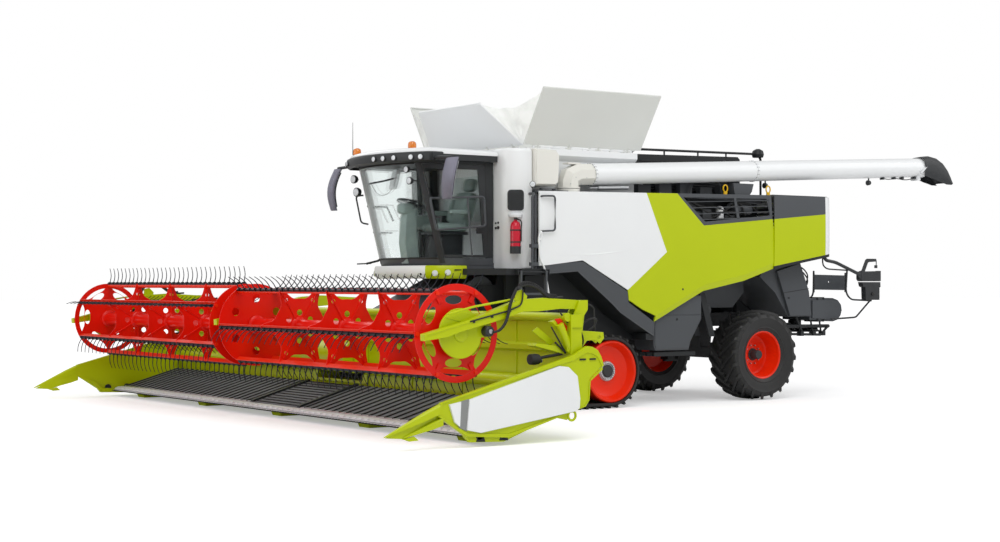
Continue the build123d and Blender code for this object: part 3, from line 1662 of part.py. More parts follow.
# tines point outwards at the top and hang down at the front and below: for the place of each bat
# in degrees, the angle of its tines from straight ahead
tine_turns = {
    90: 90,
    60: 45,
    30: -5,
    0: -48,
    330: -72,
    300: -88,
    270: -98,
    240: -108,
    210: -125,
    180: -150,
    150: 160,
    120: 125,
}
with BuildPart() as reel_bats:
    for side in (-1, 1):
        for turn in bat_turns[side]:
            x, z = reel_spot(turn, reel_bat_radius)
            with BuildSketch(side_plane(side * (reel_inner_y - 20))):
                with Locations((x, z)):
                    Circle(reel_bat_tube_radius)
            extrude(amount=-side * (reel_outer_y - reel_inner_y + 40))
            lean = radians(tine_turns[turn])
            comb_plane = Plane(
                origin=spot(x, side * (reel_inner_y + 70), z),
                x_dir=(0, side, 0),
                z_dir=(side * sin(lean), 0, -side * cos(lean)),
            )
            with BuildSketch(comb_plane):
                with Locations(*[(k * tine_pitch, tine_length / 2 + 10) for k in range(tine_count)]):
                    Rectangle(tine_width, tine_length - 20)
            extrude(amount=tine_width / 2, both=True)
keep(reel_bats.part, "reel_bats")
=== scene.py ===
import json

import bmesh
import bpy
import numpy as np
from mathutils import Matrix, Vector, geometry


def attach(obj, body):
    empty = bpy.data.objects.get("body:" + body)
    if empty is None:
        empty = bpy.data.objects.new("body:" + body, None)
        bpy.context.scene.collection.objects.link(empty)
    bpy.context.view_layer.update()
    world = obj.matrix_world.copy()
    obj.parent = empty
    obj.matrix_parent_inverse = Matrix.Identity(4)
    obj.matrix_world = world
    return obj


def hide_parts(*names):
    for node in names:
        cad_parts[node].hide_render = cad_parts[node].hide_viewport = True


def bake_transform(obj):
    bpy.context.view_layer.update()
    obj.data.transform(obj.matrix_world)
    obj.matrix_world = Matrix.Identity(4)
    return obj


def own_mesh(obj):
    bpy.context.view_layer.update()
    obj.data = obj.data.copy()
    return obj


# A half-track combine harvester with a draper header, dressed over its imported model.
# Metres: x runs forward, y to the driver's left, z up. Most lengths start from the track axle.

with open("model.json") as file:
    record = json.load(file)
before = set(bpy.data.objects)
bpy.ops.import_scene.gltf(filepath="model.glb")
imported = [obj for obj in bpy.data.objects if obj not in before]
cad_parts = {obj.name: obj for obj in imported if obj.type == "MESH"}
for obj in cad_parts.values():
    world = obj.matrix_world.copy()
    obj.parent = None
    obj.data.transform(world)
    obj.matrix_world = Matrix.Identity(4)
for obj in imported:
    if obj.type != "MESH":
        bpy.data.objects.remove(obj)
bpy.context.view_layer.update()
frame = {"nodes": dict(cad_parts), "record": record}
nodes = frame["nodes"]
axleX = 1.365  # where the track axle stands in the frame
print("frame loaded:", len(nodes), "nodes")

# camera, from a perspective fit to the photograph
cameraValues = {
    "place": (axleX + 15.195, 21.351, 1.846),
    "heading": 55.274,  # degrees between the line of sight and the machine's length
    "pitch": 0.109,  # degrees up
    "focal": 1710.246,  # in pixels of a picture 1000 wide
    "centre": (488.644, 280.348),  # the pixel on the line of sight
    "picture": (1000, 542),
}


def placeCamera(values):
    heading, pitch = np.radians([values["heading"], values["pitch"]])
    sight = Vector((-np.cos(heading) * np.cos(pitch), -np.sin(heading) * np.cos(pitch), np.sin(pitch)))
    right = Vector((-np.sin(heading), np.cos(heading), 0))
    up = right.cross(sight)
    data = bpy.data.cameras.new("photoCamera")
    camera = bpy.data.objects.new("photoCamera", data)
    bpy.context.scene.collection.objects.link(camera)
    turn = Matrix((right, up, -sight)).transposed().to_4x4()
    camera.matrix_world = Matrix.Translation(Vector(values["place"])) @ turn
    width, height = values["picture"]
    data.sensor_width = 36
    data.sensor_fit = "HORIZONTAL"
    data.lens = values["focal"] / width * 36
    data.shift_x = (width / 2 - values["centre"][0]) / width
    data.shift_y = (values["centre"][1] - height / 2) / width
    data.clip_end = 300
    bpy.context.scene.camera = camera


placeCamera(cameraValues)
bpy.context.scene.view_settings.view_transform = "Standard"
print("camera placed")


# shader helpers
def toLinear(hexText):
    # sRGB hex to linear light: a straight part near black, then a power of 2.4
    parts = np.array([int(hexText[i : i + 2], 16) / 255 for i in (1, 3, 5)])
    linear = np.where(parts <= 0.04045, parts / 12.92, ((parts + 0.055) / 1.055) ** 2.4)
    return (*linear.tolist(), 1.0)


def addNode(tree, kind, settings=None, values=None, links=None):
    # one node with its settings, its sockets' values and what feeds its sockets
    node = tree.nodes.new("ShaderNode" + kind)
    for key, value in (settings or {}).items():
        setattr(node, key, value)
    for key, value in (values or {}).items():
        node.inputs[key].default_value = value
    for key, source in (links or {}).items():
        tree.links.new(source, node.inputs[key])
    return node


def newMaterial(name, values):
    # a Principled material with fixed socket values, its tree and its shader
    material = bpy.data.materials.new(name)
    material.use_nodes = True
    tree = material.node_tree
    tree.nodes.clear()
    shader = addNode(tree, "BsdfPrincipled", values=values)
    addNode(tree, "OutputMaterial", links={"Surface": shader.outputs["BSDF"]})
    return material, tree, shader


# lights, floor and sky
stageValues = {
    "skyStrength": 0.54,
    "keyPower": 1350,
    "fillPower": 460,
    "floorColour": "#F2F2F3",
    "floorLift": (0.34, 0.62),  # light that only the view sees, from under the machine to far away
    "liftFrom": (9.0, 30.0),  # metres from the middle over which it rises
}


def seenDirectly(tree):
    # 1 where the view or a ray through glass meets the surface, else 0
    rays = addNode(tree, "LightPath").outputs
    links = {0: rays["Is Camera Ray"], 1: rays["Is Transmission Ray"]}
    return addNode(tree, "Math", {"operation": "MAXIMUM"}, links=links).outputs[0]


def makeStage(values):
    world = bpy.data.worlds.new("studioSky")
    bpy.context.scene.world = world
    world.use_nodes = True
    tree = world.node_tree
    tree.nodes.clear()
    dim = addNode(tree, "Background", values={"Color": (1, 1, 1, 1), "Strength": values["skyStrength"]})
    white = addNode(tree, "Background", values={"Color": (1, 1, 1, 1), "Strength": 1.0})
    mix = addNode(tree, "MixShader", links={0: seenDirectly(tree), 1: dim.outputs[0], 2: white.outputs[0]})
    addNode(tree, "OutputWorld", links={"Surface": mix.outputs[0]})

    floorColour = {"Base Color": toLinear(values["floorColour"]), "Roughness": 0.9}
    floorMaterial, tree, shader = newMaterial("paintedStudioFloor", floorColour)
    place = addNode(tree, "TexCoord")
    away = addNode(tree, "VectorMath", {"operation": "LENGTH"}, links={0: place.outputs["Object"]})
    (near, far), (low, high) = values["liftFrom"], values["floorLift"]
    span = {"From Min": near, "From Max": far, "To Min": low, "To Max": high}
    rise = addNode(tree, "MapRange", values=span, links={"Value": away.outputs["Value"]})
    links = {0: seenDirectly(tree), 1: rise.outputs[0]}
    lift = addNode(tree, "Math", {"operation": "MULTIPLY"}, links=links)
    glow = addNode(tree, "Emission", values={"Color": (1, 1, 1, 1)}, links={"Strength": lift.outputs[0]})
    both = addNode(tree, "AddShader", links={0: shader.outputs[0], 1: glow.outputs[0]})
    output = [node for node in tree.nodes if node.type == "OUTPUT_MATERIAL"][0]
    tree.links.new(both.outputs[0], output.inputs["Surface"])
    mesh = bpy.data.meshes.new("studioFloor")
    mesh.from_pydata([(-150, -150, 0), (150, -150, 0), (150, 150, 0), (-150, 150, 0)], [], [(0, 1, 2, 3)])
    mesh.materials.append(floorMaterial)
    floor = bpy.data.objects.new("studioFloor", mesh)
    bpy.context.scene.collection.objects.link(floor)

    lamps = (
        ("keyLamp", (axleX + 6, 12, 14), (axleX, 0, 1), 12, values["keyPower"]),
        ("fillLamp", (axleX - 12, 8, 9), (axleX - 2, 0, 1.5), 9, values["fillPower"]),
        ("rimLamp", (axleX + 2, -14, 12), (axleX, 0, 1), 10, values["fillPower"]),
        ("frontLamp", (axleX + 17, -3, 6), (axleX, 0, 2), 9, values["fillPower"]),
    )
    for name, place, target, size, power in lamps:
        data = bpy.data.lights.new(name, "AREA")
        data.size = size
        data.energy = power
        lamp = bpy.data.objects.new(name, data)
        bpy.context.scene.collection.objects.link(lamp)
        lamp.location = place
        lamp.rotation_euler = (Vector(target) - Vector(place)).to_track_quat("-Z", "Y").to_euler()


makeStage(stageValues)
print("stage lit")


# materials, each named for what the real one is and how its surface was made, but for a mid grey that is
# painted shade
def speckled(name, hexText, values, patch, other, grain, bump):
    # a colour that drifts to another in soft patches, over a fine relief
    # patch and grain are a noise's (scale, detail), bump is (strength, depth)
    material, tree, shader = newMaterial(name, values)
    place = addNode(tree, "TexCoord").outputs["Object"]
    noises = []
    for scale, detail in (patch, grain):
        noise = addNode(tree, "TexNoise", values={"Scale": scale, "Detail": detail}, links={"Vector": place})
        noises.append(noise.outputs["Fac"])
    colour = toLinear(hexText)
    shade = tuple(other(part) for part in colour[:3]) + (1.0,)
    tint = addNode(tree, "Mix", {"data_type": "RGBA"}, {6: colour, 7: shade}, {0: noises[0]})
    tree.links.new(tint.outputs[2], shader.inputs["Base Color"])
    strength, depth = bump
    relief = addNode(tree, "Bump", values={"Strength": strength, "Distance": depth},
        links={"Height": noises[1]})
    tree.links.new(relief.outputs[0], shader.inputs["Normal"])
    return material


def coatedSheet(name, hexText, roughness, coat, waviness=0.04):
    # sheet with sprayed or baked paint: even colour, faint orange peel some 6 mm across, a clear gloss
    values = {"Roughness": roughness, "Coat Weight": coat, "Coat Roughness": 0.06, "Specular IOR Level": 0.25}
    return speckled(name, hexText, values, (0.9, 3.0), lambda part: part * 0.93, (160.0, 2.0),
        (waviness, 0.002))


def mouldedRubber(name, hexText, roughness, grain):
    # vulcanised rubber: near black, dull, with a fine pebble and dusty patches
    values = {"Roughness": roughness, "Specular IOR Level": 0.4}
    return speckled(name, hexText, values, (5.0, 5.0), lambda part: part * 1.8 + 0.004, (grain, 3.0),
        (0.25, 0.003))


def rolledSteel(name, hexText, roughness):
    # bare steel from the mill: grey metal, faintly streaked
    material, tree, shader = newMaterial(name, {"Metallic": 0.9, "Base Color": toLinear(hexText)})
    place = addNode(tree, "TexCoord").outputs["Object"]
    streak = addNode(tree, "TexNoise", values={"Scale": 30.0, "Detail": 4.0}, links={"Vector": place})
    span = {"To Min": roughness - 0.08, "To Max": roughness + 0.1}
    rough = addNode(tree, "MapRange", values=span, links={"Value": streak.outputs["Fac"]})
    tree.links.new(rough.outputs[0], shader.inputs["Roughness"])
    return material


def clearPart(name, hexText, values):
    # glass or acrylic with no texture of its own
    return newMaterial(name, {"Base Color": toLinear(hexText), **values})[0]


lensGloss = {"Roughness": 0.12, "Coat Weight": 0.6}
thinGlass = {"Roughness": 0.02, "Transmission Weight": 1.0, "IOR": 1.05, "Alpha": 0.35}
materials = {
    "white_paint": coatedSheet("bakedEnamelWhite", "#EEF0F1", 0.32, 0.4),
    "cream_paint": coatedSheet("bakedEnamelWarmWhite", "#E4E3DC", 0.34, 0.4),
    "flap_paint": coatedSheet("stoveEnamelPaleGrey", "#DFE1DD", 0.42, 0.15),
    # mid grey painted into recesses as shade
    "shade_paint": coatedSheet("paintedRecessShadeGrey", "#8B8D8C", 0.4, 0.2),
    "lime_paint": coatedSheet("bakedEnamelLime", "#B9C800", 0.34, 0.12),
    "grey_paint": coatedSheet("powderCoatSlateGrey", "#4C4F53", 0.42, 0.15, 0.08),
    "dark_steel": coatedSheet("powderCoatBlack", "#26282A", 0.5, 0.1, 0.1),
    "light_grey_sheet": coatedSheet("paintedSheetPaleGrey", "#C6C8C5", 0.45, 0.15),
    "yellow_paint": coatedSheet("sprayedEnamelYellow", "#E8B800", 0.4, 0.3),
    "red_paint": coatedSheet("bakedEnamelRed", "#E41400", 0.34, 0.12),
    "orange_paint": coatedSheet("bakedEnamelVermilion", "#EC2C04", 0.36, 0.1),
    "extinguisher_red": coatedSheet("powderCoatSignalRed", "#C81430", 0.3, 0.5),
    "galvanised": coatedSheet("hotDipGalvanisedSteel", "#E0E2E4", 0.4, 0.1),
    "cast": coatedSheet("sandCastIronPainted", "#3A3C3E", 0.6, 0.0, 0.2),
    "lamp_lens": coatedSheet("pressedGlassOverReflector", "#DDE2E6", 0.12, 1.0),
    "steel": rolledSteel("zincPlatedSteel", "#B9BBBD", 0.38),
    "spring_steel": rolledSteel("phosphatedSpringSteel", "#2E3036", 0.45),
    "chrome_rod": rolledSteel("hardChromedRod", "#D8DADC", 0.14),
    "black_rubber": mouldedRubber("vulcanisedTrackRubber", "#1B1B1B", 0.62, 120.0),
    "draper_fabric": mouldedRubber("rubberisedBelting", "#55575A", 0.6, 260.0),
    "tyre_rubber": mouldedRubber("vulcanisedTyreRubber", "#1A1A1A", 0.5, 90.0),
    "black_plastic": mouldedRubber("mouldedPolypropyleneBlack", "#232527", 0.45, 400.0),
    "mirror_shell": mouldedRubber("mouldedPolypropyleneSlate", "#6B6B78", 0.4, 500.0),
    "seat_cloth": mouldedRubber("wovenPolyesterGreenGrey", "#6E7A77", 0.85, 500.0),
    "seat_shell": mouldedRubber("mouldedPolyurethaneGreenGrey", "#7A8683", 0.55, 500.0),
    "tank_cloth": mouldedRubber("pvcCoatedPolyesterWhite", "#D6D8D6", 0.5, 420.0),
    "amber_plastic": clearPart("mouldedAcrylicAmber", "#F08A1E", {**lensGloss, "Transmission Weight": 0.35}),
    "red_lens": clearPart("mouldedAcrylicRed", "#B01010", lensGloss),
    "clear_glass": clearPart("temperedCabGlass", "#DCE8E6", thinGlass),
}

# every CAD node gets its slot's material; later pieces hide the nodes that they stand for
slotOf = {row["node"]: row["material_slot"] for row in frame["record"]["subparts"]}
for name, node in nodes.items():
    node.data.materials.clear()
    node.data.materials.append(materials[slotOf[name]])
print("materials made:", len(materials))

origin = (0, 0, 0)


# a shape is (points, corners, counts), with all its faces' corners in one row; lists of shapes nest
def joined(shapes):
    # one shape, from one or from a list of them
    if isinstance(shapes[0], np.ndarray):
        return shapes
    points, corners, counts = zip(*map(joined, shapes))
    starts = np.cumsum([0] + [len(part) for part in points[:-1]])
    corners = [part + start for part, start in zip(corners, starts)]
    return np.concatenate(points), np.concatenate(corners), np.concatenate(counts)


def columns(*parts):
    # numbers and arrays side by side, as the coordinates of points
    return np.stack(np.broadcast_arrays(*parts), axis=-1)


def grid(points, wrapRows=False, wrapColumns=False, capEnds=False):
    # a surface: each point joins its neighbours in the next row and column
    rows, across = points.shape[:2]
    number = np.arange(rows * across).reshape(rows, across)
    if wrapRows:
        number = np.vstack([number, number[:1]])
    if wrapColumns:
        number = np.hstack([number, number[:, :1]])
    quads = np.stack([number[:-1, :-1], number[:-1, 1:], number[1:, 1:], number[1:, :-1]], axis=-1)
    corners = [quads.reshape(-1)]
    counts = [np.full(quads.size // 4, 4)]
    if capEnds:
        ring = np.arange(across)
        corners += [ring[::-1], ring + (rows - 1) * across]
        counts.append(np.array([across, across]))
    return points.reshape(-1, 3), np.concatenate(corners), np.concatenate(counts)


def loft(rings):
    # a solid through closed rings of points, from the first to the last
    return grid(np.stack(rings), wrapColumns=True, capEnds=True)


def onPlane(flat, level, axis="y"):
    # sketch points in space: (y, z) across x, (x, z) across y, (x, y) across z
    first, second = np.asarray(flat, float).T
    order = {"x": (level, first, second), "y": (first, level, second), "z": (first, second, level)}
    return columns(*order[axis])


def slab(outline, low, high, axis="y"):
    # an outline carried straight from one level to another and closed at both ends
    return loft([onPlane(outline, low, axis), onPlane(outline, high, axis)])


def insideLoops(spots, loops):
    # a spot is inside where a line to its right crosses the loops an odd number of times
    crossings = np.zeros(len(spots), int)
    for loop in loops:
        start, end = loop, np.roll(loop, -1, axis=0)
        rise = np.where(end[:, 1] == start[:, 1], 1.0, end[:, 1] - start[:, 1])
        spans = (start[:, 1] > spots[:, 1:]) != (end[:, 1] > spots[:, 1:])
        meet = start[:, 0] + (spots[:, 1:] - start[:, 1]) * (end[:, 0] - start[:, 0]) / rise
        crossings += (spans & (spots[:, :1] < meet)).sum(axis=1)
    return crossings % 2 == 1


def plate(outline, holes, low, high, axis="y"):
    # a slab with holes, its faces triangulated between the outline and the holes
    loops = [np.asarray(outline, float)] + [np.asarray(hole, float) for hole in holes]
    starts = np.cumsum([0] + [len(loop) for loop in loops])
    rings = [np.arange(len(loop)) + start for start, loop in zip(starts, loops)]
    walls = np.concatenate([columns(ring, np.roll(ring, -1)) for ring in rings])
    flat = np.concatenate(loops)
    found, _, faces, _, _, _ = geometry.delaunay_2d_cdt([Vector(pair) for pair in flat], walls.tolist(), [],
        1, 1e-6)
    flat = np.array([tuple(pair) for pair in found])
    faces = np.array([face for face in faces if len(face) == 3])
    faces = faces[insideLoops(flat[faces].mean(axis=1), loops)]
    count = len(flat)
    points = np.concatenate([onPlane(flat, low, axis), onPlane(flat, high, axis)])
    sides = np.hstack([walls, walls[:, ::-1] + count])
    corners = np.concatenate([faces[:, ::-1].ravel(), (faces + count).ravel(), sides.ravel()])
    counts = np.concatenate([np.full(2 * len(faces), 3), np.full(len(sides), 4)])
    return points, corners, counts


def box(low, high):
    (x0, y0, z0), (x1, y1, z1) = low, high
    return slab(rectangle(x0, y0, x1, y1), z0, z1, "z")


def scaled(outline, centre, shares):
    # an outline made smaller about a centre
    return (np.array(outline) - centre) * shares + centre


def rectangle(x0, z0, x1, z1):
    return [(x0, z0), (x1, z0), (x1, z1), (x0, z1)]


def circle(centre, radius, sides=24, turn=0.0):
    angle = np.arange(sides) * 2 * np.pi / sides + turn
    return columns(centre[0] + radius * np.cos(angle), centre[1] + radius * np.sin(angle))


def lathe(profile, centre, axis="y", sides=48, closed=False):
    # a profile of (radius, place along the axis) turned once round the axis through a centre
    profile = np.asarray(profile, float)
    angle = np.arange(sides) * 2 * np.pi / sides
    across = profile[:, :1] * np.cos(angle)
    upward = profile[:, :1] * np.sin(angle)
    along = profile[:, 1:]
    order = {"y": (across, along, upward), "x": (along, across, upward), "z": (across, upward, along)}
    return grid(columns(*order[axis]) + centre, wrapRows=closed, wrapColumns=True, capEnds=not closed)


def bentPath(points, bend, steps=6):
    # straight runs whose corners are cut back by a length and joined by a parabola
    points = np.asarray(points, float)
    share = np.linspace(0, 1, steps)[:, None]
    path = [points[:1]]
    for before, corner, after in zip(points, points[1:], points[2:]):
        back = before - corner
        ahead = after - corner
        start = corner + back * min(bend / np.linalg.norm(back), 0.48)
        end = corner + ahead * min(bend / np.linalg.norm(ahead), 0.48)
        path.append((1 - share) ** 2 * start + 2 * share * (1 - share) * corner + share**2 * end)
    return np.concatenate(path + [points[-1:]])


def sweep(path, section, closed=False):
    # a flat section carried along a path, square to it and upright to the path's own plane
    path = np.asarray(path, float)
    ahead = np.gradient(path, axis=0)
    if closed:
        ahead = np.roll(path, -1, axis=0) - np.roll(path, 1, axis=0)
    ahead /= np.linalg.norm(ahead, axis=1)[:, None]
    steady = np.linalg.svd(path - path.mean(axis=0))[2][2]
    if np.abs(ahead @ steady).max() > 0.9:
        steady = np.eye(3)[np.argmin(np.abs(ahead[0]))]
    side = np.cross(ahead, steady)
    side /= np.linalg.norm(side, axis=1)[:, None]
    rise = np.cross(side, ahead)
    section = np.asarray(section, float)
    if section.ndim == 2:
        section = np.repeat(section[None], len(path), axis=0)
    points = path[:, None] + section[:, :, :1] * side[:, None] + section[:, :, 1:] * rise[:, None]
    return grid(points, wrapRows=closed, wrapColumns=True, capEnds=not closed)


def tube(path, radius, sides=10, closed=False):
    # a round section along a path; the radius is one number or one for each point
    ring = circle((0, 0), 1.0, sides)
    return sweep(path, np.reshape(radius, (-1, 1, 1)) * np.ones((len(path), 1, 1)) * ring[None], closed)


def bentTube(points, bend, radius, sides=8):
    return tube(bentPath(points, bend), radius, sides)


def moved(shape, offset):
    points, corners, counts = joined(shape)
    return points + offset, corners, counts


def repeated(shape, points):
    # a shape's faces again for each of several sets of its points
    shift = np.arange(len(points))[:, None] * len(shape[0])
    return points.reshape(-1, 3), (shape[1] + shift).ravel(), np.tile(shape[2], len(points))


def rowOf(shape, offsets):
    # the same shape at each offset; plain numbers are places along y
    shape = joined(shape)
    offsets = np.asarray(offsets, float)
    if offsets.ndim == 1:
        offsets = columns(0, offsets, 0)
    return repeated(shape, shape[0] + offsets[:, None])


def turned(shape, turns, centre, axis="y"):
    # the same shape turned by each of a list of angles about an axis through a centre
    shape = joined(shape)
    turns = np.atleast_1d(turns)
    first, second = {"x": (1, 2), "y": (2, 0), "z": (0, 1)}[axis]
    local = shape[0] - centre
    points = np.repeat(local[None], len(turns), axis=0)
    cosine, sine = np.cos(turns)[:, None], np.sin(turns)[:, None]
    points[:, :, first] = local[:, first] * cosine - local[:, second] * sine
    points[:, :, second] = local[:, first] * sine + local[:, second] * cosine
    return repeated(shape, points + centre)


def mirrored(shape):
    # the same shape on the machine's other side, with its faces turned to point out again
    points, corners, counts = joined(shape)
    ends = np.repeat(np.cumsum(counts), counts)
    starts = ends - np.repeat(counts, counts)
    return points * (1, -1, 1), corners[starts + ends - 1 - np.arange(len(corners))], counts


def bothSides(shape):
    return joined([shape, mirrored(shape)])


def addPiece(name, parts, body="chassis", replaces=(), bevel=0.0, smooth=35, segments=2,
        both=False):
    # parts is a list of (shape, material), drawn from the track axle and moved to the frame here
    shapes = [bothSides(part[0]) if both else joined(part[0]) for part in parts]
    points, corners, counts = joined(shapes)
    points = points + (axleX, 0, 0)
    mesh = bpy.data.meshes.new(name)
    mesh.vertices.add(len(points))
    mesh.vertices.foreach_set("co", points.ravel())
    mesh.loops.add(len(corners))
    mesh.loops.foreach_set("vertex_index", corners.astype(np.int32))
    mesh.polygons.add(len(counts))
    mesh.polygons.foreach_set("loop_start", (np.cumsum(counts) - counts).astype(np.int32))
    mesh.polygons.foreach_set("loop_total", counts.astype(np.int32))
    used = list(dict.fromkeys(part[1] for part in parts))
    for key in used:
        mesh.materials.append(materials[key])
    index = np.repeat([used.index(part[1]) for part in parts], [len(shape[2]) for shape in shapes])
    mesh.polygons.foreach_set("material_index", index.astype(np.int32))
    mesh.update(calc_edges=True)
    mesh.validate()
    work = bmesh.new()
    work.from_mesh(mesh)
    bmesh.ops.recalc_face_normals(work, faces=work.faces)
    work.to_mesh(mesh)
    work.free()
    mesh.polygons.foreach_set("use_smooth", np.ones(len(mesh.polygons), bool))
    mesh.set_sharp_from_angle(angle=np.radians(smooth))
    piece = bpy.data.objects.new(name, mesh)
    bpy.context.scene.collection.objects.link(piece)
    if bevel:
        edge = piece.modifiers.new("softEdge", "BEVEL")
        edge.width = bevel
        edge.segments = segments
        edge.limit_method = "ANGLE"
        edge.angle_limit = np.radians(30)
        edge.harden_normals = True
    if body:
        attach(piece, body)
    if replaces:
        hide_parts(*replaces)
    return piece


# pick-up reel: twelve half bats with curved tines, plates along a core tube
reelValues = {
    "centre": (4.4, 0.0, 1.28),
    "batRadius": 0.53,
    "plateRadius": 0.565,
    "starMiddle": 0.37,
    "outerY": 5.13,
    "innerY": 0.15,
    "plateYs": (1.4, 2.65, 3.9),
    "coreRadius": 0.095,
    "shaftRadius": 0.033,
    "tineCount": 32,
    "tineLength": 0.25,
    "tineRadius": 0.0075,
    # degrees up from straight ahead that a bat's tines point, by the bat's own angle round the reel
    "tineTurns": {90: 90, 60: 45, 30: -5, 0: -48, 330: -72, 300: -88, 270: -98, 240: -108, 210: -125,
        180: -150, 150: 160, 120: 125},
}


def makeReel(values):
    x, _, z = values["centre"]
    centre = (x, 0, z)
    hub = np.array((x, z))
    turns = np.arange(6) * np.pi / 3
    aim = columns(np.cos(turns), np.sin(turns))
    between = columns(np.cos(turns + np.pi / 6), np.sin(turns + np.pi / 6))

    # star plate: a round middle that runs out into a narrow neck at each bat
    angle = np.linspace(0, 2 * np.pi, 144, endpoint=False)
    share = np.abs((angle % (np.pi / 3)) / (np.pi / 6) - 1)  # 1 at a bat, 0 half way to the next
    radius = values["starMiddle"] + (values["plateRadius"] - values["starMiddle"]) * np.clip(share * 1.12, 0,
        1) ** 4
    way = columns(np.cos(angle), np.sin(angle))
    starEdge = hub + radius[:, None] * way
    holes = [circle(hub + 0.4 * way, 0.03, 10) for way in aim]
    holes += [circle(hub + 0.185 * way, 0.04, 12) for way in between]
    star = plate(starEdge, holes, -0.006, 0.006)
    rib = box((x + 0.1, -0.022, z - 0.01), (x + 0.535, 0.022, z + 0.01))
    ribs = turned(rib, -turns, centre)

    # end ring, and inside it a smaller star with lens holes, set off centre
    ringEdge = circle(hub, values["plateRadius"], 96)
    endRing = plate(ringEdge, [circle(hub, values["plateRadius"] - 0.075, 96)], -0.007, 0.007)
    lens = circle((0, 0), 1.0, 20) * (0.052, 0.115)
    lenses = [hub + 0.36 * way + lens @ np.array([way, (-way[1], way[0])]) for way in between]
    spiderEdge = hub + (0.5 * radius + 0.23)[:, None] * way
    spider = moved(plate(spiderEdge, lenses, -0.006, 0.006), (0.018, 0, 0.022))
    links = turned(box((x + 0.4, -0.008, z - 0.028), (x + 0.55, 0.008, z + 0.028)), -turns, centre)

    # inner plates, whole but for six large round holes
    disc = plate(ringEdge, [circle(hub + 0.36 * way, 0.055, 20) for way in between], -0.006, 0.006)

    core = lathe([(values["coreRadius"], values["innerY"]), (values["coreRadius"], values["outerY"] - 0.03)],
        centre, sides=28)
    flangeYs = (values["innerY"] + 0.03, *values["plateYs"], values["outerY"] - 0.05)
    flange = lathe([(0.098, -0.03), (0.13, -0.012), (0.13, 0.012), (0.098, 0.03)], centre, sides=28)
    out = (0, values["outerY"], 0)
    half = [core, rowOf(flange, flangeYs), moved(endRing, out), moved(disc, (0, values["innerY"], 0))]
    half += [moved(spider, (0, values["outerY"] - 0.035, 0)), moved(links, (0, values["outerY"] - 0.02, 0))]
    half += [rowOf([star, ribs], values["plateYs"])]
    half = half
    frameShape = [half, turned(mirrored(half), -np.pi / 6, centre)]
    shaft = lathe([(values["shaftRadius"], -5.215), (values["shaftRadius"], 5.215)], centre, sides=20)
    addPiece("reelFrame", [(frameShape, "red_paint"), (shaft, "steel")], "reel", replaces=["reel_frame"],
        bevel=0.003)

    # one bat with its tines pointing ahead: tube, folded strip, dark bar with spring coils
    low, high = values["innerY"] - 0.02, values["outerY"] + 0.02
    barrel = lathe([(0.024, low), (0.024, high)], origin, sides=12)
    strip = slab([(-0.03, 0.004), (-0.024, -0.002), (0.02, 0.046), (0.014, 0.052)], low + 0.03, high - 0.03)
    bar = slab([(0.016, -0.016), (0.05, -0.012), (0.05, 0.012), (0.016, 0.016)], low + 0.03, high - 0.03)
    tineYs = np.linspace(low + 0.1, high - 0.1, values["tineCount"])
    coil = box((0.022, -0.02, -0.02), (0.06, 0.02, 0.02))
    along = np.linspace(0, 1, 7)
    tinePath = columns(0.05 + (values["tineLength"] - 0.02) * along, 0, 0.022 * np.sin(np.pi * along))
    tine = tube(tinePath, values["tineRadius"] * (1 - 0.35 * along), 5)
    tines = rowOf([tine, coil], tineYs)
    orange, dark = [], []
    for side, first in ((1, 0), (-1, 30)):
        for k in range(6):
            turn = first + 60 * k
            place = hub + values["batRadius"] * np.array((np.cos(np.radians(turn)), np.sin(np.radians(turn))))
            for shape, group in (([barrel, strip], orange), ([bar, tines], dark)):
                bat = turned(shape, -np.radians(values["tineTurns"][turn]), origin)
                bat = moved(bat, (place[0], 0, place[1]))
                group.append(bat if side > 0 else mirrored(bat))
    addPiece("reelBats", [(orange, "orange_paint")], "reel", replaces=["reel_bats"], smooth=50)
    addPiece("reelTines", [(dark, "spring_steel")], "reel", smooth=60)


makeReel(reelValues)
print("reel made")

# header: wall, two side belts with ribs, a centre belt with slats, knife, side shields and dividers
headerValues = {
    "half": 5.4,
    "wallX": 2.96,
    "wallTop": 1.48,
    "beltRear": (3.105, 0.4235),
    "beltFront": (4.035, 0.1564),
    "sideBelt": (0.76, 5.3),
    "ribPitch": 0.19,
    "slatPitch": 0.085,
    "guardPitch": 0.0762,
    "shieldIn": 5.405,
    "shieldOut": 5.488,
}


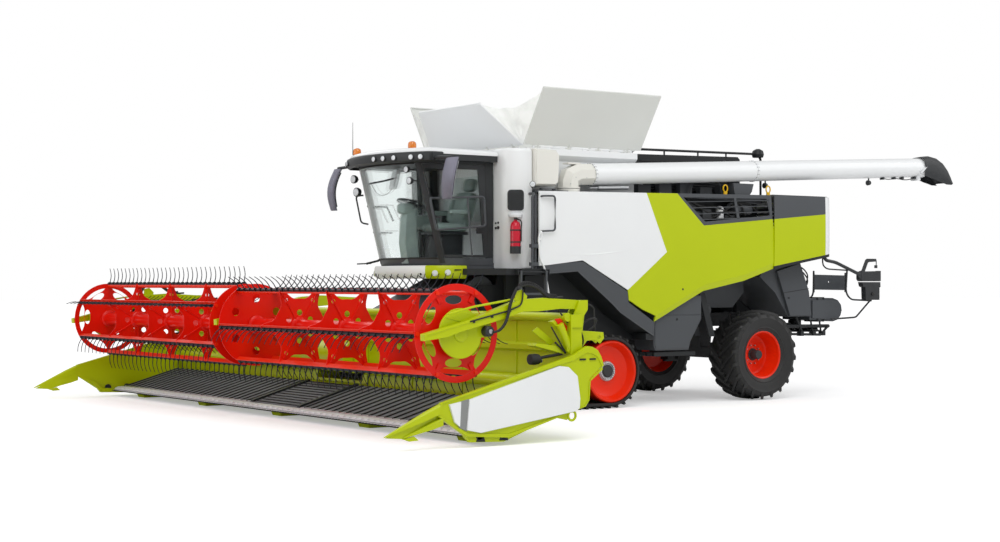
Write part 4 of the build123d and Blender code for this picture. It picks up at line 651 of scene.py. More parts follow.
def makeHeader(values):
    half, wallX = values["half"], values["wallX"]
    (rearX, rearZ), (frontX, frontZ) = values["beltRear"], values["beltFront"]

    # back wall dress: top tube, folded swages and a main tube with coned ends
    topTube = lathe([(0.052, -half + 0.02), (0.052, half - 0.02)],
        (wallX + 0.03, 0, values["wallTop"] - 0.03), sides=20)
    swage = slab([(wallX, 1.02), (wallX + 0.035, 1.05), (wallX + 0.035, 1.11), (wallX, 1.14)], -half + 0.03,
        half - 0.03)
    lowTube = lathe([(0.045, 0.7), (0.085, 0.8), (0.085, 5.15), (0.045, 5.3)], (wallX + 0.075, 0, 0.66),
        sides=24)
    seam = box((wallX, -0.012, 0.45), (wallX + 0.012, 0.012, values["wallTop"] - 0.06))
    seams = rowOf(seam, (-4.3, -3.1, -1.9, -0.72, 0.72, 1.9, 3.1, 4.3))
    throat = plate(
        rectangle(-0.76, 0.44, 0.76, 1.16),
        [rectangle(-0.64, 0.48, 0.64, 1.08)],
        wallX,
        wallX + 0.03,
        "x",
    )
    addPiece("headerWallDress", [([topTube, swage, bothSides(lowTube), seams, throat], "lime_paint")],
        "header", bevel=0.004)

    # belts: ribs from front to back across the side belts, slats across the centre one
    rise = 0.016
    ribEdge = [(rearX, rearZ), (frontX, frontZ), (frontX, frontZ + rise), (rearX, rearZ + rise)]
    rib = slab(ribEdge, -0.014, 0.014)
    low, high = values["sideBelt"]
    ribYs = np.arange(low + 0.1, high, values["ribPitch"])
    ribs = bothSides(rowOf(rib, ribYs))
    share = np.arange(0.03, 0.97, values["slatPitch"] / (frontX - rearX))
    slat = box((-0.012, -0.62, -0.004), (0.012, 0.62, 0.012))
    slats = rowOf(slat, [(rearX + s * (frontX - rearX), 0, rearZ + s * (frontZ - rearZ)) for s in share])
    addPiece("beltRibs", [([ribs, slats], "black_rubber")], "header", bevel=0.003)
    edge = slab([(rearX, rearZ + 0.004), (frontX, frontZ + 0.004), (frontX, frontZ + 0.03),
        (rearX, rearZ + 0.03)], 0.655, 0.735)
    rollers = lathe([(0.022, 0.76), (0.022, 5.3)], (frontX - 0.01, 0, frontZ - 0.012), sides=12)
    addPiece("beltEdges", [(edge, "dark_steel"), (rollers, "steel")], "header", bevel=0.004, both=True)

    # knife: bright bar on top, triangular sections, and pointed guards below
    bar = [(4.05, 0.152), (4.118, 0.146), (4.172, 0.128), (4.186, 0.112), (4.172, 0.104), (4.05, 0.096)]
    barShape = slab(bar, -half + 0.02, half - 0.02)
    count = int(2 * (half - 0.05) / values["guardPitch"])
    ys = (np.arange(count) - (count - 1) / 2) * values["guardPitch"]
    root = np.array([(4.1, -0.018, 0.07), (4.1, 0.018, 0.07), (4.1, 0.022, 0.1), (4.1, -0.022, 0.1)])
    tip = np.array([(4.268, -0.003, 0.088), (4.268, 0.003, 0.088), (4.268, 0.003, 0.096),
        (4.268, -0.003, 0.096)])
    guard = loft([root, 0.35 * root + 0.65 * tip, tip])
    section = slab([(4.175, -0.034), (4.25, -0.006), (4.25, 0.006), (4.175, 0.034)], 0.1, 0.104, "z")
    hold = box((4.12, -0.012, 0.12), (4.18, 0.012, 0.138))
    under = slab([(4.05, 0.096), (4.15, 0.1), (4.15, 0.078), (4.05, 0.068)], -half + 0.02, half - 0.02)
    dark = [rowOf(guard, ys), under]
    bright = [rowOf(section, ys[:-1] + values["guardPitch"] / 2), rowOf(hold, ys[::2])]
    addPiece("knife", [(barShape, "galvanised"), (bright, "galvanised"), (dark, "dark_steel")], "header",
        replaces=["cutterbar"])


def makeShields(values):
    inner, outer = values["shieldIn"], values["shieldOut"]
    # lime plate with a raised border, a white panel on it, and a recess near the front painted mid grey as
    # shade
    border = [(2.52, 0.88), (2.56, 0.985), (2.61, 1.06), (2.69, 1.1), (2.76, 1.11), (2.96, 1.01),
        (4.82, 0.52)]
    border += [(4.87, 0.38), (4.48, 0.13), (3.9, 0.09), (2.79, 0.4), (2.74, 0.47), (2.72, 0.72)]
    panel = [(4.455, 0.545), (3.19, 0.888), (3.06, 0.872), (2.93, 0.764), (2.89, 0.5), (2.9, 0.385),
        (2.96, 0.352), (4.3, 0.165), (4.49, 0.205)]
    tip = [(4.72, 0.5), (4.565, 0.528), (4.58, 0.245), (4.65, 0.3)]
    recess = [(4.575, 0.526), (4.448, 0.552), (4.475, 0.19), (4.59, 0.236)]
    slots = [rectangle(2.64, 0.945, 2.73, 0.965), rectangle(2.79, 0.945, 2.88, 0.965)]
    face = slab(border, inner, outer - 0.034)
    rim = plate(border, [[(x * 0.985 + 0.055, z * 0.88 + 0.055) for x, z in border]], outer - 0.034,
        outer - 0.022)
    white = [slab(panel, outer - 0.04, outer), slab(tip, outer - 0.04, outer - 0.006)]
    # the recess is painted mid grey: painted shade
    groove = slab(recess, outer - 0.036, outer - 0.018)
    # the slots and the gaps by the skid wheels are solid black slabs: painted shade where the openings are
    gaps = [[(x, 0.062), (x - 0.13, 0.056), (x - 0.11, 0.118), (x - 0.02, 0.122)] for x in (4.34, 4.02)]
    dark = [slab(slot, outer - 0.036, outer - 0.02) for slot in slots] + [slab(gap, inner, outer - 0.045)
        for gap in gaps]
    skid = [(4.6, 0.26), (4.42, 0.06), (3.95, 0.045), (3.45, 0.22), (3.45, 0.275), (3.95, 0.115), (4.4, 0.13),
        (4.52, 0.25)]
    skids = slab(skid, inner - 0.03, outer - 0.05)
    wheels = [lathe([(0.055, inner - 0.02), (0.055, outer - 0.045)], (x, 0, 0.135), sides=20)
        for x in (4.29, 3.96)]
    ring = tube(onPlane(circle((2.985, 0.3), 0.055), inner + 0.04), 0.016, 8, closed=True)
    hook = slab([(3.02, 0.33), (3.28, 0.33), (3.28, 0.3), (3.05, 0.25)], inner + 0.01, inner + 0.04)
    lime = [face, rim, skids, ring, hook]
    addPiece("headerShields", [(lime, "lime_paint"), (white, "white_paint"), (groove, "shade_paint"),
        ([dark, wheels], "dark_steel")], "header", replaces=["header_shields"], bevel=0.005, both=True)

    # dividers: a spear over a shorter prong, with a plate between them on the crop side
    def prong(rearLow, rearHigh, rearY, tipPoint, wide):
        middle = 0.5 * (np.array(rearLow) + np.array(rearHigh))
        share = np.array([0.0, 0.25, 0.9, 1.0])[:, None]
        size = np.array([1.0, 0.92, 0.25, 0.08])
        centres = (1 - share) * np.array((middle[0], rearY, middle[1])) + share * np.array(tipPoint)
        tall = 0.5 * (rearHigh[1] - rearLow[1])
        ring = np.array([(-wide, -tall), (wide, -tall), (wide, 0.6 * tall), (0.5 * wide, tall),
            (-0.5 * wide, tall), (-wide, 0.6 * tall)])
        points = np.zeros((4, 6, 3))
        points[:, :, 1:] = ring[None] * size[:, None, None]
        return loft(points + centres[:, None])

    upper = prong((4.84, 0.4), (4.84, 0.505), 5.44, (5.545, 5.42, 0.168), 0.042)
    lower = prong((4.8, 0.27), (4.8, 0.355), 5.44, (5.3, 5.42, 0.15), 0.036)
    between = slab([(4.84, 0.44), (4.8, 0.28), (5.28, 0.14), (5.52, 0.16)], 5.403, 5.412)
    foot = slab([(5.1, 0.118), (5.22, 0.112), (5.3, 0.14), (5.16, 0.165)], 5.4, 5.44)
    addPiece("cropDividers", [([upper, lower, between, foot], "lime_paint")], "header",
        replaces=["crop_dividers"], bevel=0.004, both=True)


makeHeader(headerValues)
makeShields(headerValues)
print("header made")

# reel arms: box beams outboard of round carriage plates
armValues = {"y": 5.27, "half": 0.045, "plateY": 5.19, "plateRadius": 0.288, "pivot": (2.72, 1.6),
    "axle": (4.4, 1.28)}


def makeArms(values):
    beam = [(4.945, 1.205), (4.951, 1.282), (4.344, 1.43), (4.2, 1.48), (3.8, 1.61), (3.64, 1.66),
        (3.3, 1.68), (3.03, 1.665)]
    beam += [(2.78, 1.65), (2.66, 1.635), (2.65, 1.55), (2.78, 1.54), (3.05, 1.55), (3.377, 1.522),
        (3.6, 1.52), (3.9, 1.43), (4.2, 1.36), (4.471, 1.298), (4.633, 1.245)]
    hole = circle(values["pivot"], 0.026, 16)
    rail = bentPath([(4.62, 0.03, 1.5), (4.3, 0.03, 1.58), (3.7, 0.03, 1.668)], 0.08)
    arm = [plate(beam, [hole], -values["half"], values["half"]), tube(rail, 0.014, 8)]
    middle = np.array(beam)
    middle[:, 1] += 0.075 * np.clip((middle[:, 0] - 4.2) / 0.4, 0, 1)  # its tip stays above the reel's shaft
    middle = plate(middle, [hole], -values["half"], values["half"])
    side = values["half"]
    lip = slab([(4.945, 1.205), (4.951, 1.282), (4.344, 1.43), (4.34, 1.404), (4.925, 1.258), (4.92, 1.21)],
        side, side + 0.008)
    bracket = slab([(3.6, 1.62), (3.72, 1.62), (3.66, 1.665), (3.56, 1.668)], -0.03, 0.03)
    arms = [middle, bothSides(moved([arm, lip, bracket], (0, values["y"], 0)))]
    addPiece("reelArms", [(arms, "lime_paint")], "reel_arms", replaces=["reel_arms"], bevel=0.005)


def makeCarriages(values):
    x, z = values["axle"]
    y = values["plateY"]
    edge = circle((x, z), values["plateRadius"], 64)
    cheek = plate(edge, [circle((x, z), 0.034, 20)], y, y + 0.028)
    hub = lathe([(0.095, y + 0.028), (0.095, y + 0.042), (0.06, y + 0.05), (0.036, y + 0.05)], (x, 0, z),
        sides=28, closed=False)
    hanger = slab([(x - 0.3, z + 0.06), (x - 0.28, z + 0.2), (x + 0.12, z + 0.27), (x + 0.2, z + 0.18)],
        y + 0.002, y + 0.034)
    small = plate(circle((x, z), 0.12, 32), [circle((x, z), 0.034, 16)], 0.052, 0.08)
    lime = [bothSides([cheek, hanger]), small]
    motor = lathe([(0.062, y + 0.03), (0.062, y + 0.12), (0.045, y + 0.135)], (x - 0.34, 0, z + 0.02),
        sides=24)
    motorPlate = slab([(x - 0.42, z - 0.05), (x - 0.24, z - 0.05), (x - 0.2, z + 0.1), (x - 0.42, z + 0.1)],
        y + 0.005, y + 0.032)
    cap = lathe([(0.026, y + 0.135), (0.026, y + 0.145)], (x - 0.34, 0, z + 0.02), sides=16)
    addPiece("reelCarriages", [(lime, "lime_paint"), (bothSides(hub), "lime_paint"),
        (bothSides(motorPlate), "lime_paint"), (bothSides(motor), "black_plastic"),
        (bothSides(cap), "steel")], "reel_carriages", replaces=["reel_carriages"], bevel=0.004)


makeArms(armValues)
makeCarriages(armValues)
print("reel arms made")


def foldStrip(upperLine, lowerLine, upperOut, lowerOut, back):
    # a bent strip between two lines of (x, z) points, each at its own distance out, closed at the back
    upperLine, lowerLine = np.asarray(upperLine, float), np.asarray(lowerLine, float)
    rings = [onPlane(upperLine, upperOut), onPlane(lowerLine, lowerOut), onPlane(lowerLine, back),
        onPlane(upperLine, back)]
    return loft(np.stack(rings, axis=1))


def shell(points, thickness):
    # a curved sheet given its wall: each column runs down the outside and back inside
    down = np.gradient(points, axis=0)
    across = np.gradient(points, axis=1)
    normal = np.cross(across, down)
    normal /= np.linalg.norm(normal, axis=2)[:, :, None]
    inner = points - normal * thickness
    rings = np.concatenate([points, inner[::-1]], axis=0).transpose(1, 0, 2)
    return grid(rings, wrapColumns=True, capEnds=True)


# side panels: a white front part, a lime rear part with a folded lower edge, and a window with bars
panelValues = {
    "inner": 1.572,
    "outer": 1.6,
    "top": ((0.618, 3.178), (-3.955, 3.25)),
    "boundary": [(-1.38, 3.209), (-1.781, 2.324), (-1.02, 1.752)],
    "window": [(-1.99, 3.219), (-2.529, 2.74), (-3.985, 2.87)],
    "fold": [(-1.56, 1.36), (-2.525, 1.825), (-3.385, 1.985), (-4.095, 2.2)],
    "lowEdge": [(-1.545, 1.272), (-2.53, 1.732), (-3.388, 1.892), (-4.108, 2.112)],
    "mullions": (-2.42, -3.18, -3.88),
    "barLevels": (3.09, 3.0, 2.91, 2.825),
}


def makeSidePanels(values):
    inner, outer = values["inner"], values["outer"]
    topFront, topRear = values["top"]
    high, corner, notch = values["boundary"]
    windowTop, windowFront, windowRear = values["window"]
    white = [topFront, high, corner, notch, (-0.17, 2.186), (0.48, 2.112), (0.618, 2.102)]
    lime = [high, windowTop, windowFront, windowRear, (-4.095, 2.2), *values["fold"][::-1][1:], (-1.3, 1.46),
        (-1.04, 1.6), notch, corner]
    whiteShape = slab(white, inner, outer)
    limeShape = slab(lime, inner, outer - 0.001)
    strip = foldStrip(values["fold"], values["lowEdge"], outer - 0.002, outer - 0.022, inner - 0.012)
    crease = foldStrip([(0.3, 2.262), (-0.45, 2.3), (-1.05, 2.345)],
        [(0.3, 2.258), (-0.45, 2.27), (-1.05, 2.343)], outer - 0.001, outer + 0.004, outer - 0.012)
    bolt = lathe([(0.016, outer - 0.004), (0.016, outer + 0.003), (0.009, outer + 0.004)], (-2.1, 0, 1.76),
        sides=12)

    # window frame: a dark border that follows the opening, leaning mullions, thin bars
    border = [windowTop, windowFront, windowRear, (-3.955, topRear[1])]
    holeEdge = [(-2.11, 3.165), (-2.56, 2.8), (-3.925, 2.925), (-3.9, 3.19)]
    frameShape = plate(border, [holeEdge], inner + 0.004, outer - 0.004)
    mullions = []
    for x in values["mullions"][1:]:
        mullions.append(slab([(x + 0.025, 3.2), (x - 0.025, 3.2), (x - 0.105, 2.8 + (x + 2.5) * -0.09),
            (x - 0.05, 2.8 + (x + 2.5) * -0.09)], inner + 0.006, outer - 0.008))
    bars = []
    for level in values["barLevels"]:
        start = -2.11 - (3.165 - level) * 1.23
        bars.append(slab([(start, level), (-3.91, level + 0.07), (-3.91, level + 0.082),
            (start, level + 0.012)], inner + 0.008, inner + 0.02))
    dark = [frameShape, mullions, bars]
    for side, turn in (("left", lambda shape: shape), ("right", mirrored)):
        addPiece(side + "PanelSkin", [(turn(whiteShape), "white_paint"),
            (turn([limeShape, strip]), "lime_paint"), (turn(crease), "white_paint"),
            (turn(bolt), "dark_steel")], side + "_side_panel",
            replaces=[side + "_side_panel"], bevel=0.006)
        addPiece(side + "PanelWindow", [(turn(dark), "grey_paint")], side + "_side_panel",
            replaces=[side + "_side_grille"], bevel=0.003)


# what shows through the window: a header tank, pipes, hoses and a filter
def makeBayMachinery():
    hoseRuns = [
        [(-2.3, 1.46, 3.14), (-2.6, 1.48, 3.02), (-2.95, 1.47, 3.05), (-3.2, 1.46, 2.9)],
        [(-2.45, 1.44, 3.1), (-2.75, 1.47, 2.92), (-3.15, 1.47, 2.98), (-3.5, 1.45, 2.96)],
        [(-2.55, 1.43, 2.84), (-2.9, 1.46, 2.88), (-3.3, 1.46, 3.1), (-3.6, 1.45, 3.12), (-3.8, 1.45, 2.98)],
        [(-3.3, 1.45, 3.14), (-3.42, 1.48, 3.1), (-3.5, 1.48, 2.92)],
    ]
    hoses = [bothSides(bentTube(run, 0.15, 0.016)) for run in hoseRuns]
    pipe = bothSides(bentTube([(-2.2, 1.4, 2.95), (-3.1, 1.4, 2.93), (-3.25, 1.4, 3.12), (-3.9, 1.4, 3.14)],
        0.1, 0.028, 10))
    tank = lathe([(0.02, -3.72), (0.085, -3.7), (0.1, -3.66), (0.1, -3.36), (0.085, -3.32), (0.02, -3.3)],
        (0, 1.36, 3.03), "x", 24)
    filterCan = lathe([(0.05, 2.86), (0.06, 2.87), (0.06, 3.02), (0.045, 3.05), (0.02, 3.06)],
        (-3.02, 1.42, 0), "z", 20)
    blocks = [box((-2.8, 1.34, 2.84), (-2.62, 1.47, 3.0)), box((-3.3, 1.36, 2.82), (-3.1, 1.46, 2.92)),
        box((-2.5, 1.34, 3.0), (-2.3, 1.45, 3.12))]
    back = box((-3.98, 1.22, 2.6), (-2.02, 1.24, 3.2))
    addPiece("bayMachinery", [(hoses, "black_rubber"), (pipe, "grey_paint"), (bothSides(tank), "grey_paint"),
        (bothSides(filterCan), "galvanised"), (bothSides(blocks), "cast"), (bothSides(back), "dark_steel")],
        bevel=0.004)


# rear hood: sides, rounded corners and back, with a grey band on top and a dark sill
hoodValues = {"front": -4.012, "rear": -5.35, "half": 1.598, "corner": 0.2, "top": 3.262, "wall": 0.02}


def makeHood(values):
    front, rear, half, corner = values["front"], values["rear"], values["half"], values["corner"]
    arc = np.linspace(0, np.pi / 2, 9)
    side = columns(np.linspace(front, rear + corner, 7), half)
    bend = columns(rear + corner - corner * np.sin(arc[1:]), half - corner + corner * np.cos(arc[1:]))
    back = np.array([(rear, half - corner - 0.3), (rear, 0.0)])
    quarter = np.concatenate([side, bend, back])
    plan = np.concatenate([quarter, quarter[::-1][1:] * (1, -1)])

    def lowAt(x):
        return 2.14 + (x + 4.11) / (-5.35 + 4.11) * 0.205

    def bandAt(x):
        return 2.868 + (x + 3.98) / (-5.17 + 3.98) * 0.105

    def wall(path, low, high, bulge, steps=6):
        # the wall leans in a little towards its top and foot
        share = np.linspace(0, 1, steps)[:, None]
        z = low + (high - low) * share
        lean = bulge * ((z - 2.7) / 0.6) ** 2
        inward = np.where(np.abs(path[:, 1]) > 0.01, np.sign(path[:, 1]), 0)
        points = columns(path[:, 0], path[:, 1] - inward * lean, z)
        return shell(points[::-1], values["wall"])

    x = plan[:, 0]
    onSide = slice(0, 7)
    corners = slice(6, len(quarter) * 2 - 1 - 6)
    lime = wall(plan[onSide], lowAt(x[onSide]), bandAt(x[onSide]), 0.012)
    band = wall(plan[onSide], bandAt(x[onSide]), np.full(7, values["top"] - 0.012), 0.012, 4)
    white = wall(plan[corners], lowAt(x[corners]), np.full(len(x[corners]), values["top"] - 0.012), 0.012, 8)
    sill = wall(plan, lowAt(x) - 0.045, lowAt(x), 0.012, 2)
    roof = slab(plan * (1, 0.985), values["top"] - 0.03, values["top"], "z")
    slots = []
    for k, level in enumerate((3.15, 3.085, 3.02, 2.955)):
        slots.append(slab([(-4.04, level), (-4.36 + 0.035 * k, level + 0.025),
            (-4.345 + 0.035 * k, level + 0.06), (-4.04, level + 0.035)], half - 0.006, half + 0.002))
    seam = slab([(-4.018, 3.2), (-4.03, 3.2), (-4.2, 2.15), (-4.185, 2.15)], half - 0.006, half + 0.0015)
    rearVent = [box((rear - 0.004, -0.62, z), (rear + 0.004, 0.62, z + 0.035))
        for z in np.arange(2.62, 3.08, 0.065)]
    ventFrame = plate(rectangle(-0.7, 2.56, 0.7, 3.13), [rectangle(-0.64, 2.6, 0.64, 3.09)], rear - 0.012,
        rear + 0.01, "x")
    lamps = lathe([(0.055, rear - 0.012), (0.055, rear + 0.02)], (0, 1.12, 2.56), "x", 20)
    addPiece("rearHood", [(bothSides(lime), "lime_paint"), (bothSides(band), "grey_paint"),
        (white, "white_paint"), (sill, "dark_steel"), (roof, "grey_paint"), (bothSides(slots), "dark_steel"),
        (bothSides(seam), "dark_steel"), (rearVent, "dark_steel"), (ventFrame, "grey_paint"),
        (bothSides(lamps), "red_lens")], replaces=["rear_hood"], smooth=40)


# lifting eyes on the panel edge and the deck
def makeLiftingEyes():
    ring = onPlane(circle((0, 0), 1.0, 20) * (0.045, 0.055), 0)
    eye = [tube(ring, 0.011, 8, closed=True), box((-0.03, -0.012, -0.11), (0.03, 0.012, -0.045))]
    spots = [(-3.98, 1.5, 3.345), (-3.1, 1.46, 3.335)]
    eyes = [rowOf(eye, spots), mirrored(rowOf(eye, spots))]
    addPiece("liftingEyes", [(eyes, "yellow_paint")])


makeSidePanels(panelValues)
makeBayMachinery()
makeHood(hoodValues)
makeLiftingEyes()
print("side panels and hood made")

# front fenders: a wide dark band over the track with a deep recess behind it
fenderValues = {"inner": 1.15, "outer": 1.598}


def makeFenders(values):
    inner, outer = values["inner"], values["outer"]
    over = [(0.552, 2.098), (0.249, 2.14), (-0.172, 2.17), (-1.016, 1.73), (-1.036, 1.566), (-1.542, 1.262)]
    under = [(0.552, 1.985), (0.26, 2.008), (-0.1, 2.03), (-0.735, 1.56), (-0.9, 1.42), (-1.542, 1.06)]
    face = foldStrip(over, under, outer, outer - 0.03, inner + 0.25)
    liner = [(x, z - 0.004) for x, z in under]
    sheet = np.stack([onPlane(liner, outer - 0.032), onPlane(np.array(liner) - (0, 0.02), inner)])
    lining = shell(sheet, 0.008)
    back = slab([*under, (-1.542, 0.98), (-0.3, 1.16), (0.552, 1.3)], inner - 0.02, inner)
    edge = tube(onPlane(under, outer - 0.034), 0.01, 8)
    foot = slab([(-1.4, 1.1), (-1.56, 1.07), (-1.56, 0.99), (-1.4, 1.0)], inner + 0.1, outer - 0.04)
    addPiece("frontFenders", [([face, edge], "grey_paint"), ([lining, back, foot], "dark_steel")],
        replaces=["fenders"], bevel=0.006, both=True)


# boxes behind the tracks, each with a lid and a door, and dark frames beside them
def makeSideBoxes():
    side = [(-1.6, 1.66), (-2.56, 1.66), (-2.56, 1.3), (-2.34, 0.96), (-2.3, 0.83), (-1.64, 0.83),
        (-1.6, 0.9)]
    case = slab(side, 1.06, 1.5)
    door = slab([(-1.625, 1.35), (-2.53, 1.35), (-2.53, 1.31), (-2.32, 0.975), (-2.285, 0.85), (-1.65, 0.85),
        (-1.625, 0.91)], 1.5, 1.508)
    lid = slab(rectangle(-1.62, 1.65, -2.54, 1.372), 1.5, 1.508)
    lock = lathe([(0.02, 1.508), (0.02, 1.514)], (-2.06, 0, 1.3), sides=14)
    rails = [slab(rectangle(-1.62, 0.8, -2.45, 0.74), y, y + 0.05) for y in (1.1, 1.28, 1.44)]
    struts = [slab([(-2.62, 1.7), (-2.74, 1.7), (-2.95, 1.02), (-2.83, 1.02)], y, y + 0.03)
        for y in (1.02, 1.36)]
    pump = lathe([(0.075, 1.06), (0.085, 1.08), (0.085, 1.3), (0.06, 1.33), (0.03, 1.34)], (-2.86, 0, 1.43),
        sides=24)
    addPiece("sideBoxes", [([case, door, lid], "grey_paint"), ([rails, struts, lock], "dark_steel"),
        (pump, "cast")], replaces=["side_boxes"], bevel=0.006, both=True)


makeFenders(fenderValues)
makeSideBoxes()
print("fenders and boxes made")

# cab: a dark frame under curved glass, narrower at the windscreen than at the door's hinges
cabValues = {
    "low": 2.06,
    "high": 3.6,
    "sill": 2.215,
    "lintel": 3.56,
    "cornerLow": (1.77, 0.84),  # x and y of the windscreen's corners at the floor
    "cornerHigh": (2.2, 0.8),
    "bow": 0.16,
    "rear": 1.01,
    "half": 0.998,
    "deepRear": 0.665,
}


def cabSpots(turn, z, out=0.0):
    # turn runs round the cab: 0 at the left rear, 1 and 3 at the windscreen's corners, 4 at the right rear
    values = cabValues
    turn, z = np.meshgrid(np.asarray(turn, float), np.asarray(z, float))
    share = (z - values["low"]) / (values["high"] - values["low"])
    cornerX = values["cornerLow"][0] + share * (values["cornerHigh"][0] - values["cornerLow"][0])
    cornerY = values["cornerLow"][1] + share * (values["cornerHigh"][1] - values["cornerLow"][1])
    side = 1 - np.clip(np.abs(turn - 2) - 1, 0, 1)
    across = np.clip(2 - turn, -1, 1)
    ease = 2 * side * (1 - side)
    x = (1 - side) ** 2 * values["rear"] + ease * (cornerX - 0.3) + side**2 * cornerX + values["bow"] * (1
        - across**2)
    half = ((1 - side) ** 2 + ease) * values["half"] + side**2 * cornerY
    y = half * np.where(np.abs(across) < 1, across, np.sign(across))
    points = columns(x, y, z)
    along = np.gradient(points, axis=1)[:, :, :2]
    along /= np.linalg.norm(along, axis=2)[:, :, None]
    points[:, :, :2] += out * columns(-along[:, :, 1], along[:, :, 0])
    return points


def cabSheet(turns, levels, out=0.0, thickness=0.008, steps=14):
    turns = np.linspace(*turns, steps)
    return shell(cabSpots(turns, np.linspace(levels[1], levels[0], 6), out), thickness)


def makeCab(values):
    low, high, sill, lintel = values["low"], values["high"], values["sill"], values["lintel"]
    # frame
    plan = cabSpots(np.linspace(0, 4, 49), [low])[0, :, :2]
    plan = np.concatenate([[(values["deepRear"], plan[0, 1])], plan, [(values["deepRear"], plan[-1, 1])]])
    floor = slab(plan, low, low + 0.085, "z")
    ceiling = slab(cabSpots(np.linspace(0, 4, 49), [high])[0, :, :2] * (0.99, 0.985), high - 0.03, high, "z")
    ringLow = cabSheet((0, 4), (low + 0.05, sill), 0.006, 0.05, 49)
    ringHigh = cabSheet((0, 4), (lintel, high), 0.004, 0.06, 49)
    posts = [cabSheet((0.925, 1.035), (low + 0.08, high), 0.012, 0.06, 5),
        cabSheet((0.0, 0.085), (low + 0.05, high), 0.004, 0.09, 4)]
    posts += [mirrored(post) for post in posts]
    window = rectangle(-0.8, 2.78, 0.8, 3.46)
    back = plate(rectangle(-0.998, low, 0.998, high), [window], values["deepRear"], values["deepRear"] + 0.03,
        "x")
    farPost = box((0.7, -0.99, low), (0.84, -0.9, high))
    guards = [tube([(2.02, -0.86, 3.01), (1.62, -0.955, 3.01), (1.5, -0.965, 2.8)], 0.016, 8)]
    guards += [tube([(1.9, -0.89, 2.62), (1.52, -0.965, 2.62)], 0.012, 8)]
    # a pale galvanised strip on the far windscreen pillar only: a painted reflection of the light on that
    # pillar's face
    farPillarPaintedReflection = mirrored(cabSheet((1.036, 1.08), (low + 0.14, lintel), 0.014, 0.1, 3))
    addPiece("cabFrame", [([floor, ringLow], "grey_paint"), ([ceiling, ringHigh, farPost, posts, guards],
        "black_plastic"), (back, "white_paint"), (farPillarPaintedReflection, "galvanised")],
        replaces=["cab_shell"], bevel=0.003, segments=1)
    # glass, with black rubber seals along the windscreen
    panes = [cabSheet((1.03, 2.97), (sill - 0.02, lintel + 0.01), 0.004, 0.008, 25),
        cabSheet((3.06, 3.92), (sill - 0.02, lintel + 0.01), 0.0, 0.008)]
    rearPane = box((values["deepRear"] + 0.01, -0.81, 2.77), (values["deepRear"] + 0.018, 0.81, 3.47))
    seals = [tube(cabSpots(np.linspace(1.05, 2.95, 25), [level], 0.008)[0], 0.012, 6)
        for level in (sill, lintel)]
    addPiece("cabGlass", [([panes, rearPane], "clear_glass")], replaces=["cab_glass"])
    addPiece("windscreenSeals", [(seals, "black_rubber")])
    # door: a pane in a slim black frame, a handle, and the guard rail that it carries
    pane = cabSheet((0.1, 0.915), (sill - 0.005, lintel - 0.02), 0.006, 0.007)
    addPiece("doorPane", [(pane, "clear_glass")], "cab_door", replaces=["door_glass"])
    edges = [cabSheet((0.095, 0.915), (lintel - 0.075, lintel - 0.008), 0.012, 0.022),
        cabSheet((0.095, 0.915), (sill + 0.004, sill + 0.045), 0.012, 0.022)]
    edges += [cabSheet((0.092, 0.165), (sill + 0.004, lintel - 0.008), 0.012, 0.024, 4),
        cabSheet((0.895, 0.915), (sill + 0.004, lintel - 0.008), 0.01, 0.016, 3)]
    latch = [box((1.21, 1.005, 2.565), (1.31, 1.04, 2.665)), box((1.2, 1.035, 2.6), (1.34, 1.052, 2.63))]
    rail = bentPath([(2.19, 1.142, 3.045), (1.27, 1.142, 3.093), (1.24, 1.142, 2.672), (2.09, 1.142, 2.6),
        (2.19, 1.142, 3.045), (2.1, 1.142, 3.05)], 0.05)
    guard = [tube(rail, 0.016, 10), tube([(1.555, 1.142, 3.08), (1.475, 1.142, 2.24)], 0.014, 10)]
    guard += [tube([(x, 1.142, z), (x, 1.0, z)], 0.012, 8) for x, z in ((1.31, 3.085), (1.29, 2.67),
        (1.475, 2.245))]
    addPiece("doorFrame", [([edges, latch], "black_plastic"), (guard, "grey_paint")], "cab_door",
        replaces=["cab_door"], smooth=50)


# seat of foam under woven cloth, on a dark base with its armrests
def cushion(low, high, swell):
    # a block whose faces bulge and whose edges are round: a superellipsoid
    centre = (np.array(low) + high) / 2
    half = (np.array(high) - low) / 2
    rise = np.linspace(-np.pi / 2, np.pi / 2, 15)[:, None]
    turn = np.linspace(0, 2 * np.pi, 32, False)

    def power(part):
        return np.sign(part) * np.abs(part) ** swell

    out = power(np.cos(rise))
    points = columns(out * power(np.cos(turn)), out * power(np.sin(turn)), power(np.sin(rise)))
    return loft((points * half + centre)[1:-1])


